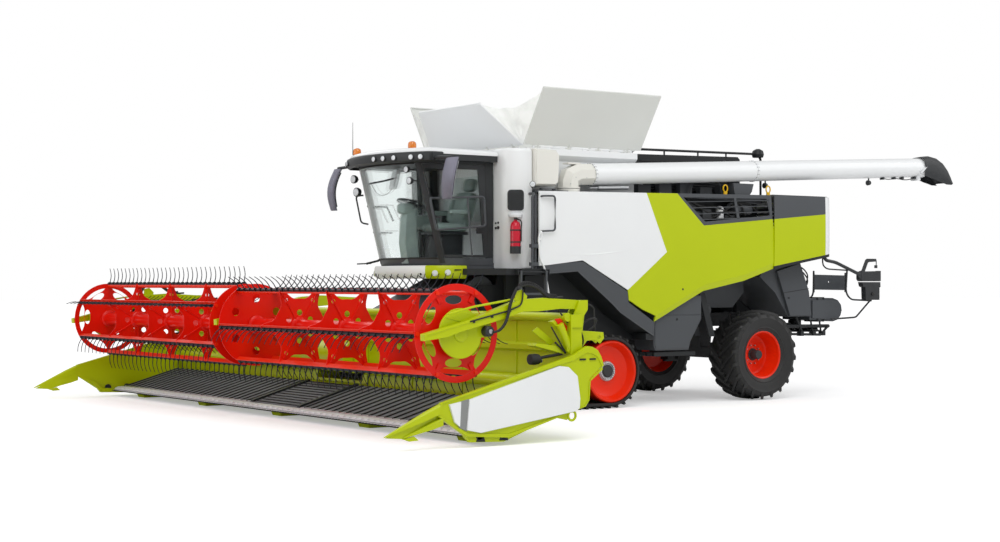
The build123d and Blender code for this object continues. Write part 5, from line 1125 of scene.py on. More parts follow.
def makeSeat():
    lean = np.radians(-16)
    y = 0.22
    base = cushion((1.08, y - 0.25, 2.6), (1.6, y + 0.25, 2.74), 0.35)
    back = turned(cushion((1.02, y - 0.24, 2.68), (1.16, y + 0.24, 3.22), 0.4), lean, (1.1, 0, 2.68))
    wings = [turned(cushion((1.08, y + side * 0.21 - 0.04, 2.76), (1.2, y + side * 0.21 + 0.04, 3.1), 0.5),
        lean, (1.1, 0, 2.68)) for side in (-1, 1)]
    head = turned(cushion((1.02, y - 0.14, 3.25), (1.12, y + 0.14, 3.44), 0.45), lean, (1.1, 0, 2.68))
    pads = addPiece("seatCushions", [([base, back, wings, head], "seat_cloth")],
        smooth=60)
    pedestal = [slab([(1.16, 2.15), (1.56, 2.15), (1.5, 2.6), (1.14, 2.6)], y - 0.2, y + 0.2),
        box((1.1, y - 0.27, 2.565), (1.58, y + 0.27, 2.605))]
    rests = [cushion((1.1, y + side * 0.31 - 0.045, 2.86), (1.46, y + side * 0.31 + 0.045, 2.93), 0.4)
        for side in (-1, 1)]
    console = [slab([(1.18, 2.62), (1.62, 2.7), (1.64, 2.8), (1.5, 2.86), (1.18, 2.82)], y - 0.6, y - 0.38),
        cushion((1.5, y - 0.52, 2.84), (1.58, y - 0.46, 3.0), 0.6)]
    panel = slab([(1.26, 2.832), (1.48, 2.866), (1.48, 2.874), (1.26, 2.84)], y - 0.58, y - 0.4)
    rack = box((0.7, -0.85, 2.15), (1.02, -0.35, 2.95))
    column = slab([(1.76, 2.14), (1.96, 2.14), (2.01, 2.44), (1.99, 2.8), (1.95, 2.93), (1.84, 2.9),
        (1.8, 2.5)], 0.02, 0.2)
    pod = cushion((1.84, 0.01, 2.86), (2.06, 0.21, 3.02), 0.5)
    ring = onPlane(circle((0, 0), 0.195, 40), 0, "z")
    wheel = [tube(ring, 0.015, 10, closed=True), lathe([(0.05, -0.02), (0.06, 0.01), (0.03, 0.02)], origin,
        "z", 20), box((-0.19, -0.02, -0.012), (0.19, 0.02, 0.004))]
    wheel = moved(turned(wheel, np.radians(-18), origin), (1.86, 0.11, 3.02))
    monitor = turned(cushion((-0.02, -0.1, -0.15), (0.02, 0.1, 0.15), 0.3), np.radians(-14), origin, "y")
    monitor = moved(monitor, (1.76, -0.5, 3.4))
    arm = bentTube([(2.1, -0.66, 3.34), (1.9, -0.58, 3.38), (1.78, -0.5, 3.42)], 0.05, 0.014)
    wire = bentTube([(2.08, -0.65, 3.33), (1.98, -0.62, 3.16), (1.84, -0.55, 3.18), (1.78, -0.5, 3.32)], 0.09,
        0.005, 6)
    addPiece("cabControls", [([pedestal, rack, wheel, arm, wire], "black_plastic"),
        ([column, pod, rests, console], "seat_shell"), ([panel, monitor], "galvanised")],
        replaces=["cab_interior"], bevel=0.008, smooth=50)


# roof: a white cap, and a black visor with work lamps that wraps round its front
visorValues = {"side": 1.12, "cornerX": 2.18, "bow": 0.33}


def outward(path):
    # the directions square to a path seen from above, away from the machine
    ahead = np.gradient(path, axis=0)
    ahead /= np.linalg.norm(ahead, axis=1)[:, None]
    out = columns(-ahead[:, 1], ahead[:, 0])
    return out * np.sign(out[len(out) // 2, 0])


def visorSpots(y, out=0.0):
    values = visorValues
    return columns(values["cornerX"] + values["bow"] * (1 - (y / values["side"]) ** 2) + out, y)


def workLamp(place, ahead, radius=0.05):
    # a round lamp, a bowl behind a lens, turned to face along a heading
    bowl = lathe([(0.3 * radius, -0.9 * radius), (0.8 * radius, -0.6 * radius), (radius, -0.1 * radius),
        (radius, 0.35 * radius), (0.88 * radius, 0.35 * radius)], origin, "x", 20)
    lens = lathe([(0.9 * radius, 0.25 * radius), (0.8 * radius, 0.45 * radius),
        (0.4 * radius, 0.55 * radius)], origin, "x", 20)
    return [moved(turned(shape, np.radians(ahead), origin, "z"), place) for shape in (bowl, lens)]


def makeRoof(values):
    y = np.linspace(values["side"], -values["side"], 33)
    plan = np.concatenate([visorSpots(y), [(1.01, -values["side"]), (1.01, values["side"])]])
    middle = np.array((1.75, 0.0))
    away = plan - middle
    rings = []
    for inset, level in ((0.0, 3.7), (0.0, 3.725), (0.025, 3.755), (0.09, 3.772), (0.16, 3.776)):
        rings.append(onPlane(middle + away * (1 - inset / np.linalg.norm(away, axis=1))[:, None], level, "z"))
    cap = loft(rings)
    gutter = slab(np.concatenate([visorSpots(y, -0.03) * (1, 0.985), [(1.012, -1.1), (1.012, 1.1)]]), 3.6,
        3.702, "z")
    sideBand = box((1.012, 1.1, 3.685), (2.06, 1.121, 3.702))
    lowBand = box((1.012, 1.09, 3.6), (2.06, 1.112, 3.685))
    addPiece("roofCap", [([cap, bothSides(sideBand)], "white_paint"),
        ([gutter, bothSides(lowBand)], "black_plastic")], replaces=["cab_roof"], smooth=45)
    # visor band: a folded lip that leans forward, from the left side round to the right
    path = np.concatenate([[(1.98, 1.128), (2.1, 1.128)], visorSpots(y, 0.006),
        [(2.1, -1.128), (1.98, -1.128)]])
    out = outward(path)
    rows = [onPlane(path + out * push, level, "z") for push, level in ((0.0, 3.712), (0.035, 3.7),
        (0.05, 3.66), (0.03, 3.585), (-0.01, 3.56), (-0.03, 3.59))]
    band = loft(np.stack(rows, axis=1))
    bowls, lenses = [], []
    for y in (-1.02, -0.8, 0.22, 0.42, 0.62, 0.9, 1.04):
        x = float(visorSpots(y, 0.055)[0])
        heading = np.degrees(np.arctan(2 * values["bow"] * y / values["side"] ** 2))
        bowl, lens = workLamp((x, y, 3.632), heading, 0.042)
        bowls.append(bowl)
        lenses.append(lens)
    tail = box((2.06, 1.12, 3.6), (2.17, 1.175, 3.69))
    addPiece("visor", [([band, tail, bowls], "black_plastic"), (lenses, "lamp_lens")], smooth=40)


# beacons, antenna, pillar lamps, wiper, grab rail and mirrors
def makeCabFittings():
    dome = lathe([(0.055, 0.0), (0.06, 0.012), (0.06, 0.075), (0.052, 0.098), (0.03, 0.112), (0.01, 0.116)],
        origin, "z", 24)
    foot = lathe([(0.068, -0.03), (0.068, 0.004), (0.05, 0.01)], origin, "z", 24)
    spots = [(2.12, 0.56, 3.775), (2.12, -1.0, 3.775)]
    addPiece("beaconDomes", [(rowOf(dome, spots), "amber_plastic"), (rowOf(foot, spots), "black_plastic")],
        replaces=["beacons"])
    whip = tube([(2.16, -1.02, 3.76), (2.16, -1.06, 3.8), (2.16, -1.06, 4.28)], [0.014, 0.006, 0.003], 8)
    lamps = [((2.3, 0.7, 3.47), 0.05), ((2.26, 0.72, 3.31), 0.055)]
    lamps += [((2.32, -0.74, 3.4), 0.062), ((2.27, -0.74, 3.21), 0.068)]
    bowls, lenses = zip(*[workLamp(place, 8, size) for place, size in lamps])
    stays = [tube([(x - 0.02, y, z), (x - 0.1, y * 1.08, z)], 0.012, 6) for (x, y, z), size in lamps]
    blade = tube([(1.98, -0.82, 2.15), (2.2, -0.86, 2.14)], 0.01, 6)
    wiper = [tube([(1.8, -0.8, 2.235), (1.86, -0.82, 2.19), (2.05, -0.84, 2.145)], 0.018, 6), blade]
    grab = bentTube([(2.13, -0.8, 3.17), (2.2, -0.9, 3.16), (2.09, -0.93, 2.76), (2.02, -0.84, 2.74)], 0.05,
        0.013)
    addPiece("cabFittings", [([whip, wiper, grab, stays, bowls], "black_plastic"), (lenses, "lamp_lens")])
    # mirror housings: a curved shell that tapers to its foot, on a bent arm from the visor
    rows = np.linspace(0, 1, 12)
    shells, arms, faces = [], [], []
    for side, top, foot, wide in ((1, (2.07, 1.53, 3.6), (2.05, 1.36, 3.03), 0.15),
            (-1, (2.16, -1.5, 3.6), (2.14, -1.665, 2.97), 0.095)):
        top, foot = np.array(top), np.array(foot)
        spine = top + (foot - top) * rows[:, None] + (0.06, side * 0.05, 0) * np.sin(np.pi * rows)[:, None]
        width = wide * (1 - 0.3 * rows**3)
        oval = circle((0, 0), 1.0, 24)
        shells.append(loft(spine[:, None] + columns(0.045 * oval[:, 1], width[:, None] * oval[:, 0], 0)))
        glassFace = spine[:, None] + columns(-0.046, np.outer(width, (-0.8, 0.8)), 0)
        faces.append(shell(glassFace[1:-1], 0.004))
        arms.append(bentTube([(2.1, side * 1.1, 3.6), (2.13, side * 1.25, 3.62), top + (0, 0, 0.01)], 0.06,
            0.024, 10))
    addPiece("mirrorHousings", [(shells, "mirror_shell"), (arms, "black_plastic"), (faces, "chrome_rod")],
        replaces=["mirrors"], smooth=60)


# bumper: white in the middle, lime ends with two lamps and vent slots each
def makeBumper():
    half = [(1.46, 0.985), (1.58, 0.968), (1.7, 0.94), (1.83, 0.885), (1.93, 0.805), (1.99, 0.7),
        (2.03, 0.56), (2.06, 0.36), (2.08, 0.18), (2.085, 0.0)]
    plan = np.array(half + [(x, -y) for x, y in half[-2::-1]])
    out = outward(plan)
    rows = [onPlane(plan + out * push, level, "z") for push, level in ((-0.05, 2.108), (-0.012, 2.104),
        (0.0, 2.08), (0.004, 2.01), (-0.01, 1.945), (-0.04, 1.918), (-0.07, 1.922))]
    surface = np.stack(rows)
    centre = shell(surface[:, 5:14], 0.012)
    ends = [shell(surface[:, :6], 0.012), shell(surface[:, 13:], 0.012)]
    bowls, lenses = zip(*[workLamp(place, heading, 0.042) for place, heading in (((1.905, 0.832, 1.995), 42),
        ((1.75, 0.926, 2.005), 76))])
    slot = [slab([(x, 2.035), (x + 0.08, 2.035), (x + 0.07, 2.05), (x - 0.01, 2.05)], 0.955, 0.975)
        for x in (1.5, 1.58)]
    lamps = [(bothSides(bowls), "galvanised"), (bothSides(lenses), "lamp_lens")]
    struts = bothSides([tube([(1.62, 0.6, 2.06), (2.02, 0.62, 1.98)], 0.018, 8),
        box((1.46, 0.8, 1.96), (1.7, 0.86, 2.06))])
    parts = [(centre, "white_paint"), (ends, "lime_paint"), ([bothSides(slot), struts], "dark_steel")] + lamps
    addPiece("cabBumper", parts, replaces=["cab_bumper"], smooth=40)


makeCab(cabValues)
makeSeat()
makeRoof(visorValues)
makeCabFittings()
makeBumper()
print("cab made")

# tank top: four flaps of folded sheet with hemmed edges, and ribs on the inner side
flapValues = {
    "rim": 3.839,
    "left": {"at": 1.2875, "lean": 32, "height": 0.946, "low": (-1.505, 0.675), "high": (-1.505, 0.675)},
    "front": {"at": 0.6075, "lean": 40, "height": 0.815, "low": (-1.21, 1.21), "high": (-0.822, 0.822)},
    "rear": {"at": -1.4375, "lean": 40, "height": 0.815, "low": (-1.21, 1.21), "high": (-0.822, 0.822)},
}


def flapPlane(name, across, up, out=0.0):
    # a spot on a flap: across runs along its hinge, up goes from the hinge to its free edge
    values = flapValues[name]
    lean = np.radians(values["lean"])
    away = values["at"] + (1 if values["at"] > 0 else -1) * (up * np.sin(lean) + out * np.cos(lean))
    level = flapValues["rim"] + up * np.cos(lean) - out * np.sin(lean)
    return columns(across, away, level) if name == "left" else columns(away, across, level)


def makeFlap(name, place):
    values = flapValues[name]
    (low0, low1), (high0, high1), height = values["low"], values["high"], values["height"]
    corners = [(low0, 0.03), (low1, 0.03), (high1, height), (high0, height)]
    across, up = np.array(corners).T
    skin = loft([flapPlane(name, across, up, out) for out in (-0.004, 0.004)])
    hem = np.concatenate([flapPlane(name, across, up, -0.012), flapPlane(name, across[:1], up[:1], -0.012)])
    edges = [tube(hem[[k, k + 1]], 0.013, 6) for k in (1, 2, 3)]
    ribs = []
    for k in (0.25, 0.5, 0.75):
        foot = flapPlane(name, low0 + (low1 - low0) * k, 0.06, -0.016)
        top = flapPlane(name, high0 + (high1 - high0) * k, height - 0.03, -0.016)
        ribs.append(tube([foot, top], 0.015, 4))
    barrels = [tube([flapPlane(name, spot - 0.05, 0.0), flapPlane(name, spot + 0.05, 0.0)], 0.012, 10)
        for spot in np.linspace(low0 + 0.25, low1 - 0.25, 4)]
    leaves = [tube([flapPlane(name, spot, 0.0), flapPlane(name, spot, 0.07)], 0.018, 4)
        for spot in np.linspace(low0 + 0.25, low1 - 0.25, 4)]
    shapes = [[skin, edges], [ribs, barrels, leaves]]
    if place == "right":
        shapes = [mirrored(shape) for shape in shapes]
    # the front and rear flaps' skins and hems take the brighter white paint instead of the flaps' own pale
    # grey: a painted highlight for the light that falls on them
    colour = "white_paint" if name != "left" else "flap_paint"
    node = place + "_tank_flap"
    addPiece(place + "Flap", [(shapes[0], colour), (shapes[1], "flap_paint")], node,
        replaces=[node])


def makeCornerCloths():
    # coated fabric between neighbouring flaps, with soft folds that fan from the low corner
    rise, turn = np.linspace(0.02, 1, 26), np.linspace(0, 1, 22)
    for end, flap in (("Front", "front"), ("Rear", "rear")):
        sideEdge = flapPlane("left", flapValues["left"]["low"][1 if end == "Front" else 0],
            0.02 + rise * 0.86, -0.004)
        endFlap = flapValues[flap]
        endEdge = flapPlane(flap, endFlap["low"][1] + (endFlap["high"][1] - endFlap["low"][1]) * rise,
            0.02 + rise * 0.78, -0.004)
        share = turn[None, :, None]
        points = sideEdge[:, None] * (1 - share) + endEdge[:, None] * share
        middle = np.array([-0.4, 0.0, 3.7])
        inward = (middle - points) / np.linalg.norm(middle - points, axis=2)[:, :, None]
        sag = 0.1 * np.sin(np.pi * turn)[None] * (rise**1.5)[:, None]
        folds = 0.014 * np.sin(np.pi * turn)[None] * np.sin(turn * 17 + 0.8)[None] * rise[:, None]
        folds += 0.008 * np.sin(turn * 31 + 2.0)[None] * np.sin(rise * 5)[:,
            None] * np.sin(np.pi * turn)[None]
        points = points + inward * (sag + folds)[:, :, None]
        points[:, :, 2] -= (0.09 * np.sin(np.pi * turn)[None] * (rise**2)[:, None])
        for side, prefix in ((1, "left"), (-1, "right")):
            shape = grid(points)
            if side < 0:
                shape = mirrored(shape)
            cloth = addPiece(prefix + end + "Cloth", [(shape, "tank_cloth")],
                smooth=80)
            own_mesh(cloth)


# unloading auger: a faceted elbow, a long tube with bolted rings, and a moulded spout
augerValues = {"pivot": (-0.06, 1.4, 3.44), "rise": 3.0, "radius": 0.16, "end": -7.69}


def boltRing(centre, radius, count, size=0.009):
    # bolt heads round a flange whose axis runs along x
    bolt = lathe([(size, -0.022), (size, 0.022)], origin, "x", 6)
    return rowOf(bolt, onPlane(circle((0, 0), radius, count), 0, "x") + centre)


def makeAuger(values):
    x, y, z = values["pivot"]
    radius = values["radius"]
    length = (x - values["end"]) / np.cos(np.radians(values["rise"]))

    def tilt(shape):
        # pieces drawn level are raised towards the rear about the pivot
        return turned(shape, np.radians(values["rise"]), (x, y, z))

    pipe = lathe([(radius, x - 0.4), (radius, x - length)], (0, y, z), "x", 64)
    joint = 3.725 + x
    seats = []
    for along in (0.405, joint, length - 0.02):
        seats.append(lathe(rectangle(radius, x - along - 0.012, 0.169, x - along + 0.012), (0, y, z), "x",
            64))
    bolts = [boltRing((x - along, y, z), 0.163, 18) for along in (0.405, joint)]
    seam = box((x - length, y - 0.004, z + radius - 0.002), (x - 0.5, y + 0.004, z + radius + 0.0015))
    octagon = circle((0, 0), 0.164, 8, np.pi / 8)
    sizes = np.array([0.98, 1.0, 1.02, 1.02, 1.0])
    path = [(x, y, 3.24), (x, y, 3.34), (x - 0.02, y, 3.4), (x - 0.13, y, 3.448), (x - 0.42, y, 3.462)]
    elbow = sweep(path, octagon[None] * sizes[:, None, None])
    collar = lathe(rectangle(0.15, 3.238, 0.172, 3.262), (x, y, 0), "z", 40)
    lid = box((x - 0.18, y - 0.07, 3.595), (x + 0.06, y + 0.07, 3.62))
    strut = [tube([(x - 0.5, y + 0.06, 3.262), (x - 1.07, y + 0.06, 3.285)], 0.03, 14),
        tube([(x - 0.34, y + 0.06, 3.255), (x - 0.55, y + 0.06, 3.264)], 0.013, 8)]
    elbowBolts = rowOf(lathe([(0.008, 0.0), (0.008, 0.012)], origin, "y", 6),
        [(x + 0.08 - k * 0.1, 1.545, 3.3 + 0.1 * (k % 2)) for k in range(4)])
    addPiece("augerTube", [([tilt(pipe), tilt(seats), tilt(seam)], "white_paint"),
        ([elbow, lid, collar], "cream_paint"), ([tilt(bolts), elbowBolts, strut], "steel")],
        "unloading_auger", replaces=["auger_tube"], smooth=32, bevel=0.003, segments=1)
    # lamps and cables clipped below the pipe
    hung = []
    for along in (3.95, 6.33):
        foot = (x - along, y, z - radius)
        hung += [tube([foot, (foot[0], y, foot[2] - 0.05)], 0.012, 8),
            lathe([(0.02, -0.03), (0.038, -0.02), (0.045, 0.03)], (foot[0], y, foot[2] - 0.075), "x", 16)]
    cable = bentPath([(x - 6.58, y + 0.04, z - radius + 0.01), (x - 6.72, y + 0.05, z - radius - 0.03),
        (x - 6.95, y + 0.05, z - radius - 0.012), (x - 7.18, y + 0.05, z - radius - 0.05),
        (x - 7.45, y + 0.06, z - radius - 0.01)], 0.1)
    clips = [box((x - along - 0.02, y, z - radius - 0.03), (x - along + 0.02, y + 0.07, z - radius + 0.01))
        for along in (6.62, 6.9, 7.1, 7.4)]
    clamp = [box((x - 7.5, y - 0.05, z - radius - 0.06), (x - 7.42, y + 0.1, z - radius + 0.03)),
        tube([(x - 7.44, y + 0.165, z - 0.1), (x - 7.64, y + 0.172, z + 0.05)], 0.018, 8)]
    addPiece("augerFittings", [(tilt([hung, tube(cable, 0.008, 6), clips]), "black_plastic"),
        (tilt(clamp), "galvanised")], "unloading_auger")
    # spout: cross-sections that follow the hood's back down to its mouth
    crown = np.array([(-7.6, 4.0), (-7.76, 4.026), (-7.93, 4.0), (-8.08, 3.925), (-8.19, 3.815),
        (-8.265, 3.69), (-8.285, 3.59)])
    sole = np.array([(-7.6, 3.66), (-7.7, 3.64), (-7.81, 3.6), (-7.92, 3.57), (-8.03, 3.56), (-8.13, 3.552),
        (-8.27, 3.565)])
    turn = np.linspace(-0.5 * np.pi, 0.5 * np.pi, 25)
    half = np.array([0.172, 0.186, 0.19, 0.19, 0.188, 0.185, 0.183])
    lift = np.sign(np.sin(turn)) * np.abs(np.sin(turn)) ** 0.75
    rows = []
    for top, low, wide in zip(crown, sole, half):
        flank = np.cos(turn) ** 0.45
        outside = low + (top - low) * (0.5 + 0.5 * lift[:, None])
        left, right = [columns(outside[:, 0], y + wide * side * flank, outside[:, 1]) for side in (1, -1)]
        rows.append(np.concatenate([left[6:], right[:5:-1]]))
    hood = shell(np.array(rows), 0.012)
    addPiece("spoutHood", [(hood, "black_plastic")], "unloading_auger",
        replaces=["auger_spout"], smooth=50)
    # turret under the elbow, and the saddle that carries the folded pipe
    turret = lathe([(0.146, 2.2), (0.146, 3.18), (0.168, 3.182), (0.168, 3.232)], (x, y, 0), "z", 40)
    saddle = slab([(-3.3, 3.228), (-3.6, 3.228), (-3.66, 3.3), (-3.7, 3.425), (-3.62, 3.425), (-3.4, 3.425),
        (-3.26, 3.425), (-3.28, 3.3)], y - 0.07, y + 0.07)
    addPiece("augerTurret", [(turret, "cream_paint"), (saddle, "grey_paint")], bevel=0.006)


# cabinets beside the cab, with a grille, an extinguisher, a filter box and the ladder's handrails
def makeCabinets():
    arc = np.radians(np.linspace(0, 90, 9))
    bend = columns(0.7 + 0.3 * np.cos(arc), 1.15 + 0.3 * np.sin(arc))
    plan = np.concatenate([[(0.645, 1.004), (1.0, 1.004)], bend, [(0.645, 1.45)]])
    levels = ((0.012, 2.062), (0.0, 2.075), (0.0, 3.745), (0.006, 3.775), (0.03, 3.796))
    middle = np.array((0.8, 1.22))
    rings = [onPlane(middle + (plan - middle) * (1 - inset / 0.22), level, "z") for inset, level in levels]
    cabinet = loft(rings)
    bridge = [box((0.645, -1.004, 3.605), (1.008, 1.004, 3.79)),
        box((0.642, -1.004, 2.065), (0.664, 1.004, 3.605))]
    heading = np.radians(52)
    face = np.array((0.7 + 0.3 * np.cos(heading), 1.15 + 0.3 * np.sin(heading)))

    def onCorner(shape, level):
        # things drawn facing +x are turned to the cabinet's rounded corner
        return moved(turned(shape, heading, origin, "z"), (*face, level))

    def rounded(width, height, corner):
        return np.concatenate([circle((sx * (width - corner), sz * (height - corner)), corner,
            24)[k * 6 : k * 6 + 7] for k, (sx, sz) in enumerate(((1, 1), (-1, 1), (-1, -1), (1, -1)))])

    vent = [slab(rounded(0.118, 0.15, 0.05), -0.03, 0.012, "x"),
        *[box((0.01, -0.095, z), (0.02, 0.095, z + 0.012)) for z in np.linspace(-0.115, 0.1, 9)]]
    vent = onCorner(vent, 3.045)
    body = lathe([(0.02, -0.24), (0.07, -0.235), (0.075, -0.2), (0.075, 0.14), (0.06, 0.19), (0.025, 0.215),
        (0.022, 0.235)], (0.085, 0, 0), "z", 28)
    foot = lathe([(0.079, -0.255), (0.079, -0.15), (0.03, -0.15)], (0.085, 0, 0), "z", 28)
    head = [box((0.055, -0.02, 0.23), (0.125, 0.02, 0.26)), bentTube([(0.085, 0.02, 0.24), (0.1, 0.09, 0.22),
        (0.11, 0.082, 0.05), (0.1, 0.082, -0.08)], 0.05, 0.01)]
    straps = [lathe([(0.078, z), (0.078, z + 0.02)], (0.085, 0, 0), "z", 28) for z in (-0.1, 0.07)]
    cowl = lathe([(0.098, 0.265), (0.105, 0.3), (0.085, 0.325), (0.02, 0.335)], (0.05, 0, 0), "z", 24)
    plugs = [lathe([(size, 0.998), (size, 1.012)], (0, y, z), "x", 16)
        for y, z, size in ((1.06, 2.72, 0.014), (1.12, 2.725, 0.016), (1.06, 2.65, 0.018),
        (1.12, 2.655, 0.024))]
    addPiece("cabinets", [([bothSides(cabinet), bridge], "white_paint"),
        ([vent, onCorner([foot, head, straps], 2.53), plugs], "black_plastic"),
        (onCorner(body, 2.53), "extinguisher_red"), (onCorner(cowl, 2.53), "galvanised")],
        replaces=["service_tower"], smooth=40)
    # filter case behind the cabinet: chamfered and cream
    side = [(0.632, 3.255), (0.275, 3.262), (0.225, 3.3), (0.205, 3.72), (0.25, 3.785), (0.632, 3.795)]
    case = slab(side, 1.31, 1.5)
    cap = loft([onPlane(side, 1.5), onPlane(scaled(side, (0.42, 3.53), (0.93, 0.9)), 1.545)])
    lampFoot = tube([(0.66, 1.47, 3.23), (0.7, 1.56, 3.25)], 0.012, 8)
    bowl, lens = workLamp((0.72, 1.575, 3.27), 50, 0.045)
    addPiece("filterBox", [([case, cap], "cream_paint"), ([lampFoot, bowl], "black_plastic"),
        (lens, "lamp_lens")], bevel=0.014)
    # handrails: twin posts on the platform, and a grab handle on the panel's front edge
    posts = [bentTube([(0.76, 1.62, 2.06), (0.76, 1.62, 3.1), (0.7, 1.6, 3.14), (0.69, 1.455, 3.14)], 0.04,
        0.019, 12), tube([(0.69, 1.6, 2.06), (0.69, 1.6, 3.12)], 0.017, 12)]
    clamps = [box((0.665, 1.575, z), (0.785, 1.645, z + 0.05)) for z in (2.36, 2.1)]
    rod = bentTube([(0.64, 1.64, 2.47), (0.6, 1.645, 2.52), (0.625, 1.645, 2.62), (0.665, 1.64, 2.5),
        (0.64, 1.645, 2.2), (0.56, 1.65, 2.06), (0.475, 1.655, 1.6)], 0.05, 0.014)
    addPiece("ladderHandrails", [([posts, clamps], "grey_paint"), (rod, "white_paint")])
    grab = bentPath([(0.59, 1.598, 3.1), (0.58, 1.65, 3.105), (0.375, 1.65, 3.11), (0.375, 1.65, 2.61),
        (0.58, 1.65, 2.6), (0.59, 1.598, 2.6)], 0.05)
    addPiece("panelHandle", [(tube(grab, 0.014, 10), "grey_paint")], "left_side_panel")


for name, place in (("left", "left"), ("left", "right"), ("front", "front"), ("rear", "rear")):
    makeFlap(name, place)
makeCornerCloths()
makeAuger(augerValues)
makeCabinets()
print("tank top, auger and cabinets made")

# rear wheels: a carcass with two rows of slanted lugs, on a deep dished rim
wheelValues = {
    "centre": (-3.86, 1.27, 0.715),
    "tread": 0.676,
    "lugCount": 20,
    "lugHeight": 0.0385,
    "sweep": 0.4,  # how far a lug runs back round the tyre, in radians
}


def makeRearWheels(values):
    x, y, z = values["centre"]
    half = [(0.365, 0.232), (0.398, 0.256), (0.425, 0.268), (0.43, 0.274), (0.44, 0.274), (0.446, 0.27),
        (0.52, 0.292), (0.58, 0.298), (0.588, 0.302), (0.596, 0.298)]
    half += [(0.64, 0.286), (0.66, 0.255), (0.67, 0.18), (values["tread"], 0.08)]
    profile = half + [(radius, -along) for radius, along in half[::-1]] + [(0.352, -0.18), (0.352, 0.18)]
    carcass = lathe(profile, (x, y, z), sides=96, closed=True)
    share = np.linspace(0, 1, 9)
    across = np.concatenate([-0.02 + 0.29 * share, [0.294, 0.3]])
    crown = np.concatenate([values["tread"] - 0.016 * share**4, [0.64, 0.596]])
    angle = np.concatenate([values["sweep"] * share**1.15, [values["sweep"] + 0.02, values["sweep"] + 0.025]])
    height = np.concatenate([np.full(9, values["lugHeight"]), [0.035, 0.004]])
    rows = []
    for offset, raised in ((-0.04, -0.012), (-0.024, 1.0), (0.024, 1.0), (0.04, -0.012)):
        radius = crown + (height if raised > 0 else raised)
        turn = angle + offset / 0.7
        rows.append(columns(radius * np.cos(turn), across, radius * np.sin(turn)))
    lug = loft(np.stack(rows, axis=1))
    other = turned(mirrored(lug), np.pi / values["lugCount"], origin)
    turns = np.arange(values["lugCount"]) * 2 * np.pi / values["lugCount"]
    lugs = moved(turned([lug, other], turns, origin), (x, y, z))
    dish = [(0.02, 0.0), (0.1, 0.0), (0.18, -0.02), (0.285, -0.035), (0.318, -0.02), (0.33, 0.04),
        (0.334, 0.14), (0.35, 0.19), (0.352, 0.232), (0.372, 0.244), (0.384, 0.24), (0.384, 0.228)]
    dish += [(0.364, 0.222), (0.362, 0.18), (0.345, 0.13), (0.345, -0.15), (0.362, -0.2), (0.384, -0.232),
        (0.372, -0.244), (0.345, -0.2), (0.325, -0.12), (0.3, -0.06), (0.18, -0.04), (0.02, -0.04)]
    rim = lathe(dish, (x, y, z), sides=72)
    hub = lathe([(0.02, 0.15), (0.066, 0.15), (0.072, 0.142), (0.076, 0.02), (0.096, 0.012), (0.1, -0.002)],
        (x, y, z), sides=32)
    nuts = lathe([(0.014, 0.0), (0.014, 0.018), (0.008, 0.03)], origin, sides=6)
    nuts = moved(rowOf(nuts, onPlane(circle((0, 0), 0.15, 10), -0.014)), (x, y, z))
    valve = tube([(x + 0.3, y + 0.01, z + 0.1), (x + 0.29, y + 0.07, z + 0.09)], 0.006, 6)
    for side, name in ((1, "left"), (-1, "right")):
        tyreShape = [carcass, lugs]
        rimParts = [(rim, "orange_paint"), ([hub, valve], "cast"), (nuts, "steel")]
        if side < 0:
            tyreShape = mirrored(tyreShape)
            rimParts = [(mirrored(shape), key) for shape, key in rimParts]
        addPiece(name + "RearTyre", [(tyreShape, "tyre_rubber")], name + "_rear_wheel",
            replaces=[name + "_rear_tyre"], bevel=0.004, segments=1)
        addPiece(name + "RearRim", rimParts, name + "_rear_wheel", replaces=[name + "_rear_rim"], smooth=40)


# tracks: a belt with lugs round two dished wheels and two rollers
trackValues = {"centreY": 1.285, "half": 0.3165, "frontX": 0.85, "rearX": -0.74, "axleZ": 0.545,
    "radius": 0.465, "belt": 0.045, "lugs": 46, "lugHeight": 0.034}


def loopSpots(share, radius, values):
    # a place on the belt's loop by its share of the way round, and the angle of its outer normal
    span = values["frontX"] - values["rearX"]
    arc = np.pi * radius
    way = np.asarray(share) % 1 * 2 * (span + arc)
    top = way < span
    front = (way >= span) & (way < span + arc)
    low = (way >= span + arc) & (way < 2 * span + arc)
    turn = np.where(top, np.pi / 2, np.where(front, np.pi / 2 - (way - span) / radius,
        np.where(low, -np.pi / 2, -np.pi / 2 - (way - 2 * span - arc) / radius)))
    x = np.where(top, values["rearX"] + way, np.where(front, values["frontX"],
        np.where(low, values["frontX"] - (way - span - arc), values["rearX"])))
    return x + radius * np.cos(turn), values["axleZ"] + radius * np.sin(turn), turn


def aroundLoop(shape, shares, radius, values):
    # a shape drawn with x along the belt and z outward, set at each share of the loop
    x, z, turn = loopSpots(shares, radius, values)
    along, out = shape[0][:, 0], shape[0][:, 2]
    cosine, sine = np.cos(turn)[:, None], np.sin(turn)[:, None]
    x, z = x[:, None] + along * sine + out * cosine, z[:, None] - along * cosine + out * sine
    return repeated(shape, columns(x, shape[0][:, 1], z))


